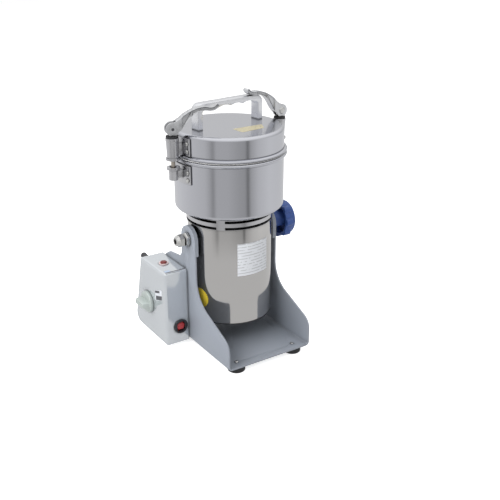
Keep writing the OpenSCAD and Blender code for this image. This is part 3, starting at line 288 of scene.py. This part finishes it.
# %% Turned lines, brushing and unevenness
ROUND_SQUEEZE = 0.004
turned_lines, given, mask = new_effect("turned_lines", Fineness=900.0)
centred = vector_maths(turned_lines, "SUBTRACT", object_place(turned_lines), AXIS)["Vector"]
x, y, z = add(turned_lines, "SeparateXYZ", {0: centred}).outputs
squares = [maths(turned_lines, "POWER", v, 2.0) for v in (x, y)]
radius = maths(turned_lines, "SQRT", maths(turned_lines, "ADD", *squares))
around = maths(turned_lines, "MULTIPLY", maths(turned_lines, "ARCTAN2", y, x), ROUND_SQUEEZE)
joined = add(turned_lines, "CombineXYZ", {0: radius, 1: around, 2: z}).outputs[0]
feed(turned_lines, mask, noise(turned_lines, joined, given["Fineness"], 6.0, 0.7))

brushing, given, mask = new_effect("brushing", Stretch=(1.0, 1.0, 1.0), Fineness=900.0)
stretched = vector_maths(brushing, "MULTIPLY", object_place(brushing), given["Stretch"])["Vector"]
feed(brushing, mask, noise(brushing, stretched, given["Fineness"], 5.0, 0.7))

unevenness, given, mask = new_effect("unevenness", Fineness=200.0)
feed(unevenness, mask, noise(unevenness, object_place(unevenness), given["Fineness"], 3.0, 0.55))
print("grain effects", turned_lines.name, brushing.name, unevenness.name)

# %% [markdown]
# The label on the tube is a table of plain rows, broken here and there. An image would need a file beside the
# script, so the rows are worked out: Height is the height of one row in metres, and Share its inked part.

# %% Ruled rows
GAP_SCALE, GAP_SHARE = 160.0, 0.44
ruled_rows, given, mask = new_effect("ruled_rows", Height=0.005, Share=0.3)
place = object_place(ruled_rows)
upwards = add(ruled_rows, "SeparateXYZ", {0: place}).outputs["Z"]
within = maths(ruled_rows, "FRACT", maths(ruled_rows, "DIVIDE", upwards, given["Height"]))
broken = maths(ruled_rows, "GREATER_THAN", noise(ruled_rows, place, GAP_SCALE, 2.0), GAP_SHARE)
inked = maths(ruled_rows, "MULTIPLY", maths(ruled_rows, "LESS_THAN", within, given["Share"]), broken)
feed(ruled_rows, mask, maths(ruled_rows, "SUBTRACT", 1.0, inked))
print("label effect", ruled_rows.name)

# %% [markdown]
# Two effects read the shape itself. Where a rounded normal leaves the face's own normal, an edge is near; there
# the colour is painted lighter as wear and painted highlight, and on the cast parts darker as painted edge shade.
# Where little open space surrounds a point, the colour is darkened as painted shade.

# %% Edges painted as wear and light, and painted shade in corners
EDGE_GAIN, EDGE_BLUR, PATCH_SCALE = 6.0, 0.2, 120.0
CREVICE_GAIN = 1.7
# Edges: a mask for wear and painted highlight, which some finishes use for painted edge shade
edge_wear_and_light, given, mask = new_effect("edge_wear_and_light", Width=0.001)
rounded = add(edge_wear_and_light, "Bevel", {"Radius": given["Width"]}, samples=4).outputs[0]
flat = add(edge_wear_and_light, "NewGeometry").outputs["Normal"]
likeness = vector_maths(edge_wear_and_light, "DOT_PRODUCT", rounded, flat)["Value"]
turned_away = maths(edge_wear_and_light, "MULTIPLY", maths(edge_wear_and_light, "SUBTRACT", 1.0, likeness), EDGE_GAIN)
edge = maths(edge_wear_and_light, "SMOOTH_MIN", turned_away, 1.0, EDGE_BLUR)
patchy = noise(edge_wear_and_light, object_place(edge_wear_and_light), PATCH_SCALE)
feed(edge_wear_and_light, mask, maths(edge_wear_and_light, "MULTIPLY", edge, patchy))

# Crevices: painted shade, where ambient occlusion finds little open space
painted_crevice_shade, given, mask = new_effect("painted_crevice_shade", Reach=0.008)
openness = add(painted_crevice_shade, "AmbientOcclusion", {"Distance": given["Reach"]}, samples=6).outputs["AO"]
closed = maths(painted_crevice_shade, "MULTIPLY", maths(painted_crevice_shade, "SUBTRACT", 1.0, openness), CREVICE_GAIN)
feed(painted_crevice_shade, mask, maths(painted_crevice_shade, "MINIMUM", closed, 1.0))
print("shape effects", edge_wear_and_light.name, painted_crevice_shade.name)

# %% [markdown]
# A finish is one Principled shader. Its colour and roughness move a little with a mask, and the same mask lifts
# the surface by about a tenth of a millimetre at most, through a Bump node. Steel has no colour variation to
# speak of, so there the mask works on roughness, which is what makes a real sheet look satin.

# %% One finish
# Painted edges go to 1.35 times the colour, as wear and painted highlight; painted shade in corners to 0.28 of it
EDGE_LIGHTENING, CREVICE_SHADE_FACTOR = 1.35, 0.28
COAT_ROUGHNESS, LEAST_ROUGHNESS, BUMP_DEPTH = 0.08, 0.02, 0.0002
MASK_LOW, MASK_HIGH = 0.25, 0.75
finishes = {}


def shaded(colour, factor):
    return (*[min(1.0, c * factor) for c in colour], 1)


def finish(name, colour, roughness, metallic=0.0, effect=unevenness, spread=0.1, lift=0.0, shade=0.06,
           edges=None, edge_tint=None, crevice_shade=None, coat=0.0, **values):
    """
    Makes a material. With the effect's mask, spread moves the roughness, shade the colour and lift the surface.
    edges is the width of painted edges, lighter as wear and painted highlight, and darker as painted edge shade
    where the colour after it is dark; the next width is the reach of painted shade in corners; values are the
    effect's own.
    """
    material = bpy.data.materials.new(name)
    material.use_nodes = True
    tree = material.node_tree
    shader = tree.nodes["Principled BSDF"].inputs
    feed(tree, shader["Metallic"], metallic)
    feed(tree, shader["Coat Weight"], coat)
    feed(tree, shader["Coat Roughness"], COAT_ROUGHNESS)
    mask = add(tree, "Group", values, node_tree=effect).outputs["Mask"]
    by_mask = {
        "Value": mask, "From Min": MASK_LOW, "From Max": MASK_HIGH,
        "To Min": max(LEAST_ROUGHNESS, roughness - spread), "To Max": roughness + spread,
    }
    feed(tree, shader["Roughness"], add(tree, "MapRange", by_mask).outputs[0])
    tint = colour_mix(tree, mask, shaded(colour, 1 - shade), shaded(colour, 1 + shade))
    # Edges painted lighter as wear and painted highlight, and with a dark tint as painted edge shade
    if edges:
        edge_mask = add(tree, "Group", {"Width": edges}, node_tree=edge_wear_and_light).outputs["Mask"]
        tint = colour_mix(tree, edge_mask, tint, shaded(edge_tint, 1) if edge_tint else shaded(colour, EDGE_LIGHTENING))
    # Painted shade in corners and recesses
    if crevice_shade:
        shade_in_corners = add(tree, "Group", {"Reach": crevice_shade}, node_tree=painted_crevice_shade).outputs["Mask"]
        tint = colour_mix(tree, shade_in_corners, tint, shaded(colour, CREVICE_SHADE_FACTOR))
    feed(tree, shader["Base Color"], tint)
    if lift:
        bump = add(tree, "Bump", {"Strength": lift, "Distance": BUMP_DEPTH, "Height": mask})
        feed(tree, shader["Normal"], bump.outputs[0])
    finishes[name] = material


# %% [markdown]
# The large sheets come first. The stand is painted a cool grey with a slight orange peel. The control box is thin
# polished sheet, whose reflections wave a little and look milky, so its finish is only partly metallic. The bowl
# and the lid are ground on a lathe and polished, and the motor tube is polished brighter still.

# %% Painted and polished sheet
finish("grey_paint", (0.262, 0.285, 0.325), 0.42, spread=0.06, lift=0.10, shade=0.03, edges=0.0012, crevice_shade=0.005,
       Fineness=420.0)
finish("box_steel", (0.66, 0.69, 0.72), 0.14, 0.75, spread=0.04, lift=0.35, shade=0.02, edges=0.001, crevice_shade=0.004,
       Fineness=24.0)
# The bowl's and the lid's steel is tinted a little blue: a painted cool colour of the reflections they show.
finish("bowl_steel", (0.580, 0.588, 0.630), 0.13, 1.0, turned_lines, spread=0.04, lift=0.05, shade=0.03,
       crevice_shade=0.002, Fineness=900.0)
finish("tube_steel", (0.58, 0.57, 0.56), 0.09, 1.0, turned_lines, spread=0.03, lift=0.02, shade=0.02, crevice_shade=0.006,
       Fineness=260.0)
print("finishes", list(finishes))

# %% [markdown]
# The smaller steel parts differ in how they were made: brackets and sleeves are brushed, the handle and the cam
# levers are castings that were tumbled, screws and nuts are plated bright, and the cutters are ground.

# %% Brushed, cast and plated steel
finish("satin_steel", (0.58, 0.58, 0.60), 0.22, 1.0, brushing, spread=0.08, lift=0.08, shade=0.05, edges=0.0006,
       crevice_shade=0.004, Stretch=(0.15, 0.15, 1.0), Fineness=1500.0)
# The cast levers and the handle get dark tinted edges: painted edge shade.
finish("cast_steel", (0.74, 0.75, 0.77), 0.32, 1.0, spread=0.10, lift=0.35, shade=0.08, edges=0.0009,
       edge_tint=(0.30, 0.30, 0.33), crevice_shade=0.006, Fineness=260.0)
finish("handle_steel", (0.84, 0.85, 0.88), 0.34, 1.0, spread=0.10, lift=0.35, shade=0.07, edges=0.0009,
       edge_tint=(0.36, 0.36, 0.39), crevice_shade=0.003, Fineness=260.0)
finish("bright_plate", (0.66, 0.66, 0.65), 0.16, 1.0, spread=0.06, lift=0.10, shade=0.06, edges=0.0005,
       crevice_shade=0.004, Fineness=500.0)
finish("blade_steel", (0.66, 0.66, 0.67), 0.22, 1.0, brushing, spread=0.08, lift=0.10, shade=0.05, edges=0.0005,
       Stretch=(1.0, 0.1, 1.0), Fineness=1200.0)
finish("rod_steel", (0.55, 0.50, 0.44), 0.28, 1.0, spread=0.08, lift=0.10, shade=0.10, Fineness=600.0)
finish("dark_pin", (0.16, 0.16, 0.17), 0.30, 1.0, spread=0.08, lift=0.10, Fineness=900.0)
print(len(finishes), "finishes with the small steel parts")

# %% [markdown]
# Mouldings take their look from the tool: rubber is dull, the knob's plastic has a fine grain, with the edges of
# its lobes painted paler as wear and painted highlight, and the rocker is glossy under a clear coat.

# %% Rubber and plastics
finish("black_rubber", (0.018, 0.018, 0.020), 0.62, spread=0.10, lift=0.30, shade=0.2, Fineness=900.0)
finish("pale_rubber", (0.42, 0.42, 0.42), 0.50, spread=0.10, lift=0.20, shade=0.1, Fineness=900.0)
finish("black_plastic", (0.022, 0.022, 0.026), 0.36, spread=0.08, lift=0.25, shade=0.2, edges=0.0006,
       edge_tint=(0.08, 0.08, 0.09), Fineness=1400.0)
finish("blue_plastic", (0.035, 0.085, 0.30), 0.40, spread=0.08, lift=0.30, shade=0.12, edges=0.0012,
       edge_tint=(0.10, 0.18, 0.42), crevice_shade=0.006, Fineness=1200.0)
finish("red_plastic", (0.42, 0.035, 0.040), 0.20, spread=0.05, lift=0.05, shade=0.10, coat=0.4, Fineness=500.0)
finish("button_red", (0.16, 0.022, 0.020), 0.30, spread=0.06, lift=0.10, shade=0.12, Fineness=600.0)
finish("knob_silver", (0.46, 0.51, 0.49), 0.30, 0.35, spread=0.08, lift=0.12, shade=0.05, edges=0.0008,
       Fineness=700.0)
# The reset button's body is pale pink: a painted reflection of the red button, which the polished box around it
# shows.
finish("pale_plastic", (0.62, 0.50, 0.50), 0.35, spread=0.08, lift=0.15, shade=0.06, Fineness=900.0)
print(len(finishes), "finishes with the mouldings")

# %% [markdown]
# The motor shows only when the machine is taken apart. Its core is a stack of iron sheets, so fine lines run round
# it; the same stretched noise, along another direction, stands for wound copper wire.

# %% Metals of the motor
finish("motor_iron", (0.16, 0.17, 0.18), 0.50, 0.8, brushing, spread=0.12, lift=0.40, shade=0.15,
       Stretch=(0.05, 0.05, 1.0), Fineness=1800.0)
finish("cast_alloy", (0.42, 0.43, 0.45), 0.48, 0.9, spread=0.10, lift=0.50, shade=0.10, Fineness=500.0)
finish("copper_wire", (0.55, 0.25, 0.10), 0.30, 0.9, brushing, spread=0.10, lift=0.60, shade=0.20,
       Stretch=(1.0, 1.0, 0.05), Fineness=1500.0)
finish("brass", (0.62, 0.45, 0.20), 0.28, 1.0, brushing, spread=0.08, lift=0.10, Stretch=(1.0, 0.2, 0.2),
       Fineness=900.0)
finish("carbon", (0.03, 0.03, 0.03), 0.55, spread=0.10, lift=0.30, shade=0.2, Fineness=1500.0)
print(len(finishes), "finishes with the motor")

# %% [markdown]
# Stickers and plates are smooth and thin, so they get little bump. The label takes its rows from the effect above,
# and the strip on the lid its streaks from the brushing.

# %% Papers, films and ink
finish("label_paper", (0.56, 0.575, 0.60), 0.50, 0.0, ruled_rows, spread=0.05, lift=0.05, shade=0.20,
       Height=0.0046, Share=0.30)
finish("gold_film", (0.66, 0.50, 0.045), 0.35, spread=0.08, lift=0.10, shade=0.15, Fineness=700.0)
finish("straw_film", (0.56, 0.50, 0.32), 0.30, 0.3, brushing, spread=0.08, lift=0.05, shade=0.25,
       Stretch=(1.0, 3.0, 1.0), Fineness=260.0)
finish("blue_film", (0.40, 0.48, 0.60), 0.35, spread=0.08, lift=0.10, shade=0.06, Fineness=700.0)
finish("plate_white", (0.60, 0.62, 0.66), 0.30, spread=0.06, lift=0.05, shade=0.04, Fineness=600.0)
finish("black_ink", (0.07, 0.07, 0.08), 0.45, spread=0.10, lift=0.10, shade=0.2, Fineness=1500.0)
print(len(finishes), "finishes in all")

# %% [markdown]
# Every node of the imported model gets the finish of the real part. Its mesh stays as it is, because the moving
# model is built on the same shape.

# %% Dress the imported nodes
WEARS = {
    "grey_paint": "stand_frame pivot_pads",
    "box_steel": "control_box",
    "bowl_steel": "bowl lid_shell",
    "tube_steel": "motor_housing",
    "satin_steel": "lid_liner vent_ring lid_brackets bowl_brackets clamp_sleeves lower_cups",
    "cast_steel": "left_lever right_lever",
    "handle_steel": "lid_handle",
    "bright_plate": "foot_screws box_screws bowl_screws bowl_bracket_screws lid_bracket_screws handle_screws "
                    "cutter_nut cutter_spacers left_stud right_stud pivot_washers left_pivot_nuts timer_shaft "
                    "motor_shaft upper_bearing lower_bearing",
    "blade_steel": "cutters",
    "rod_steel": "left_rod right_rod",
    "dark_pin": "left_lever_pin right_lever_pin",
    "black_rubber": "feet shaft_seal cam_washers",
    "pale_rubber": "lid_gasket",
    # The reset body's pale pink is a painted reflection of the red button.
    "pale_plastic": "reset_body",
    "black_plastic": "bottom_cap switch_body cable_gland cooling_fan timer_body",
    "blue_plastic": "clamping_knob",
    "brass": "knob_insert brush_holders",
    "red_plastic": "rocker",
    "button_red": "reset_button",
    "knob_silver": "timer_knob",
    "motor_iron": "stator_core rotor_core",
    "cast_alloy": "upper_shield lower_shield",
    "copper_wire": "field_coils commutator",
    "carbon": "brushes",
}
finish_of = {node: finishes[name] for name, worn_by in WEARS.items() for node in worn_by.split()}
for name, node in nodes.items():
    node.data.materials.clear()
    node.data.materials.append(finish_of[name])
print("dressed", len(finish_of), "nodes")

# %% [markdown]
# A new piece is shaped in a bmesh. This helper makes it an object, smooths all but its sharp edges, and says
# which moving body it rides on.


# %% One piece
def piece(name, bm, material, body, sharp=35):
    """Turns a bmesh into a piece; an edge stays sharp from an angle of sharp degrees"""
    mesh = bpy.data.meshes.new(name)
    bm.to_mesh(mesh)
    bm.free()
    mesh.materials.append(material)
    mesh.shade_smooth()
    mesh.set_sharp_from_angle(angle=math.radians(sharp))
    obj = bpy.data.objects.new(name, mesh)
    scene.collection.objects.link(obj)
    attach(obj, body)
    return obj


# %% [markdown]
# The clamp levers are castings with hollow cheeks, which saves metal. A modeller could cut the hollows with a
# Boolean, but an inset keeps the rib that runs round each of them at one width: each cheek is cut into bays, and
# each bay is inset and pushed in, so that thin ribs stay between them.

# %% Hollow cheeks of the cam levers
BAYS, RIB, HOLLOW = (13, 28, 43), 1.3, 1.8
LEAST_CHEEK = 4e-5  # square metres


def hollow_cheeks(bm, lever):
    """Sinks both sides of a lever, in bays that start at the BAYS distances from its pin"""
    low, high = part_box(lever + "_pin")
    pin = (low + high) / 2
    across = Vector(next(j["axis"] for j in record["behaviour"]["joints"] if j["name"] == lever + "_cam"))
    along = Vector((0, 0, 1)).cross(across)
    for start in BAYS:
        whole = [*bm.verts, *bm.edges, *bm.faces]
        bmesh.ops.bisect_plane(bm, geom=whole, plane_co=pin + along * start * MM, plane_no=along)
    cheeks = [
        f for f in bm.faces
        if abs(f.normal.dot(across)) > 0.99 and f.calc_area() > LEAST_CHEEK
        and (f.calc_center_median() - pin).dot(along) > BAYS[0] * MM
    ]
    bmesh.ops.inset_individual(bm, faces=cheeks, thickness=RIB * MM, depth=-HOLLOW * MM, use_even_offset=True)
    print(lever, "has", len(cheeks), "hollow bays")


# %% [markdown]
# Real edges are never knife sharp: sheet is deburred, and castings and mouldings come out of a tool with round
# corners. The pieces that show such edges are copied, their triangles merged back into whole faces, and every
# sharp edge is bevelled by about half a millimetre, so that it catches a line of light. Each copy stands for its
# node.

# %% Soften the edges that show
WELD, FLAT_ENOUGH, SHARP_CORNER = 2e-6, math.radians(1.5), math.radians(35)
BODY = {name: body for body, names in record["behaviour"]["bodies"].items() for name in names}
# Width of each node's bevels
SOFT = {
    "stand_frame": 0.5, "lid_handle": 1.2, "left_lever": 0.8, "right_lever": 0.8, "lid_brackets": 0.4,
    "bowl_brackets": 0.4, "clamping_knob": 0.8, "timer_knob": 0.7, "rocker": 0.4, "reset_button": 0.4,
    "left_pivot_nuts": 0.3, "pivot_washers": 0.2, "clamp_sleeves": 0.4, "lower_cups": 0.4, "cable_gland": 0.4,
    "switch_body": 0.3, "reset_body": 0.3, "feet": 0.6,
}
for name, width in SOFT.items():
    bm = bmesh.new()
    bm.from_mesh(nodes[name].data)
    bm.transform(nodes[name].matrix_world)
    bmesh.ops.remove_doubles(bm, verts=bm.verts, dist=WELD)
    bmesh.ops.dissolve_limit(bm, angle_limit=FLAT_ENOUGH, verts=bm.verts, edges=bm.edges)
    bmesh.ops.recalc_face_normals(bm, faces=bm.faces)
    if name.endswith("_lever"):
        hollow_cheeks(bm, name)
    edges = [e for e in bm.edges if len(e.link_faces) == 2 and e.calc_face_angle() > SHARP_CORNER]
    bmesh.ops.bevel(bm, geom=edges, offset=width * MM, offset_type="OFFSET", segments=2, profile=0.5,
                    affect="EDGES", clamp_overlap=True, material=-1)
    made = piece(name + "_soft", bm, finish_of[name], BODY[name], sharp=40)
    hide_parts(name)
    print(made.name, len(made.data.polygons), "faces")

# %% [markdown]
# The right lever's pin is riveted over: its front end is a bright button head. It starts as a short cone, and its
# outer rim is bevelled round.

# %% Rivet head on the right lever
HEAD_R, HEAD_FACE_R, HEAD_H, HEAD_OUT, RIM = 5, 4, 1.4, 0.6, 0.8
pin_low, pin_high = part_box("right_lever_pin")
pin_end = Vector(((pin_low.x + pin_high.x) / 2, pin_low.y - HEAD_OUT * MM, (pin_low.z + pin_high.z) / 2))
bm = bmesh.new()
bmesh.ops.create_cone(bm, cap_ends=True, segments=28, radius1=HEAD_R * MM, radius2=HEAD_FACE_R * MM,
                      depth=HEAD_H * MM)
rim = [e for e in bm.edges if all(v.co.z > 0 for v in e.verts)]
bmesh.ops.bevel(bm, geom=rim, offset=RIM * MM, segments=3, profile=0.5, affect="EDGES", material=-1)
bmesh.ops.rotate(bm, verts=bm.verts, cent=(0, 0, 0), matrix=Matrix.Rotation(math.radians(90), 3, "X"))
bmesh.ops.translate(bm, verts=bm.verts, vec=pin_end)
rivet_head = piece("rivet_head", bm, finishes["bright_plate"], "right_lever")
print("rivet head", len(rivet_head.data.polygons), "faces")

# %% [markdown]
# The label and the other marks are thin films. On the tube they are wrapped: one upright edge is spun round the
# tube's axis, and the sheet gets its thickness afterwards. A flat sheet and a modifier that bends it would do as
# well, but a spin keeps the film's distance from the tube exact. A round film, such as the gold disc, is cut from
# the sheet by planes that touch its circle.

# %% Films round the tube
FILM_OUT, FILM_T = 0.12, 0.08
SPIN_STEPS, CIRCLE_CUTS = 24, 28


def wrapped(name, turn, width, low, high, material, disc=None):
    """A film on the tube between two heights; turn is its middle in degrees, disc the radius of a round one"""
    radius = TUBE_R + FILM_OUT
    a = math.radians(turn)
    start = a - width / radius / 2
    bm = bmesh.new()
    ends = [bm.verts.new(at(radius * math.sin(start), -radius * math.cos(start), z)) for z in (low, high)]
    upright = bm.edges.new(ends)
    bmesh.ops.spin(bm, geom=[*ends, upright], cent=AXIS, axis=(0, 0, 1), angle=width / radius,
                   steps=SPIN_STEPS)
    if disc:
        middle = at(radius * math.sin(a), -radius * math.cos(a), (low + high) / 2)
        sideways = Vector((math.cos(a), math.sin(a), 0))
        for i in range(CIRCLE_CUTS):
            b = 2 * math.pi * i / CIRCLE_CUTS
            outwards = sideways * math.cos(b) + Vector((0, 0, math.sin(b)))
            whole = [*bm.verts, *bm.edges, *bm.faces]
            bmesh.ops.bisect_plane(bm, geom=whole, plane_co=middle + outwards * disc * MM, plane_no=outwards,
                                   clear_outer=True)
    bmesh.ops.recalc_face_normals(bm, faces=bm.faces)
    bmesh.ops.solidify(bm, geom=bm.faces, thickness=FILM_T * MM)
    made = piece(name, bm, material, "swing")
    print(name, len(made.data.polygons), "faces")


wrapped("rating_label", 3, 55, 130, 181, finishes["label_paper"])
wrapped("round_gold_film", -77, 32, 71.5, 103.5, finishes["gold_film"], disc=15.5)

# %% [markdown]
# The other films lie flat on the lid and on the control box. Each starts as one face, whose corners are rounded
# before it is extruded by the film's thickness.

# %% Flat films
FLAT_OUT = 0.02


def film(name, corners, cut, away, material, body):
    """A flat film; its corners are rounded by cut, and away is its thickness towards its upper side"""
    bm = bmesh.new()
    bm.faces.new([bm.verts.new(at(*c)) for c in corners])
    bmesh.ops.bevel(bm, geom=bm.verts, offset=cut * MM, segments=4, profile=0.5, affect="VERTICES", material=-1)
    grown = bmesh.ops.extrude_face_region(bm, geom=bm.faces)["geom"]
    upper = [v for v in grown if isinstance(v, bmesh.types.BMVert)]
    bmesh.ops.translate(bm, verts=upper, vec=Vector(away) * MM)
    bmesh.ops.recalc_face_normals(bm, faces=bm.faces)
    made = piece(name, bm, material, body)
    print(name, len(made.data.polygons), "faces")


lid_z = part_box("lid_shell")[1].z / MM + FLAT_OUT
strip = [(-9, -25, lid_z), (-7, -49, lid_z), (33, -44, lid_z), (42, -24, lid_z)]
film("lid_strip", strip, 3, (0, 0, 0.1), finishes["straw_film"], "lid")

# %% [markdown]
# On the box's outer face the timer's scale has thirteen ticks round the dial, every third one longer. Each tick is
# a small block that is moved out from the dial's middle and then turned, so that one loop makes them all.

# %% Dial ticks
TICKS, TICK_STEP, FIRST_TICK, TICK_AT = 13, 25, -150, 22.5
TICK_T, TICK_W, TICK_OUT = 0.1, 0.7, 0.03
LONG_TICK, SHORT_TICK = 4.0, 2.6
box_low, box_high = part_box("control_box")
dial_low, dial_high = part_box("timer_knob")
dial = Vector((0, (dial_low.y + dial_high.y) / 2, (dial_low.z + dial_high.z) / 2))
bm = bmesh.new()
for i in range(TICKS):
    size = Matrix.Diagonal((TICK_T * MM, TICK_W * MM, (SHORT_TICK if i % 3 else LONG_TICK) * MM, 1))
    tick = bmesh.ops.create_cube(bm, size=1.0, matrix=size)["verts"]
    turned = Matrix.Rotation(math.radians(FIRST_TICK + TICK_STEP * i), 3, "X")
    bmesh.ops.translate(bm, verts=tick, vec=(box_low.x - TICK_OUT * MM, 0, TICK_AT * MM))
    bmesh.ops.rotate(bm, verts=tick, cent=(0, 0, 0), matrix=turned)
    bmesh.ops.translate(bm, verts=tick, vec=dial)
ticks = piece("dial_ticks", bm, finishes["black_ink"], "stand")
print("dial ticks", len(ticks.data.polygons), "faces")

# %% [markdown]
# Near the dial a small white plate slants down towards the back, and two plain dark blocks on it slant with it.
# They could be a pattern in the plate's finish, but as films of their own they keep crisp edges.

# %% Plate near the dial
BOX_X = (box_low.x - AXIS.x) / MM
PLATE = [(BOX_X, 17, 82), (BOX_X, 40, 74), (BOX_X, 40, 91), (BOX_X, 17, 99)]
# Depth and height of each block's middle, its length, and its width up and down
BLOCKS = ((32, 91, 16, 3.8), (27, 82.5, 20, 7))
SLANT = 0.17
film("dial_plate", PLATE, 1, (-0.015, 0, 0), finishes["plate_white"], "stand")
for i, (depth, height, length, width) in enumerate(BLOCKS):
    x, rise = BOX_X - FLAT_OUT, SLANT * length
    front, back = (depth - length / 2, height + rise), (depth + length / 2, height - rise)
    order = ((front, -1), (back, -1), (back, 1), (front, 1))
    block = [(x, y, z + way * width / 2) for (y, z), way in order]
    film(f"dial_mark_{i}", block, 0.6, (-0.08, 0, 0), finishes["black_ink"], "stand")

# %% [markdown]
# On the box's top lies a small pale blue sticker. Along the front runs a thin dark line: the front sheet is folded
# over the top, and its joint shows. The joint is too shallow to be worth a cut in the sheet, so it is a film too.

# %% Films on the box's top
BOX_Y, BOX_TOP = (box_low.y - AXIS.y) / MM, box_high.z / MM + FLAT_OUT


def on_box_top(x0, x1, y0, y1):
    """The corners of a rectangle on the box's top; x counts from its outer face and y from its front"""
    return [(BOX_X + x, BOX_Y + y, BOX_TOP) for x, y in ((x0, y0), (x1, y0), (x1, y1), (x0, y1))]


film("blue_sticker", on_box_top(5, 14, 6, 12), 0.8, (0, 0, 0.08), finishes["blue_film"], "stand")
film("top_seam", on_box_top(4, 38.5, 3.4, 5.6), 0.3, (0, 0, 0.05), finishes["black_ink"], "stand")
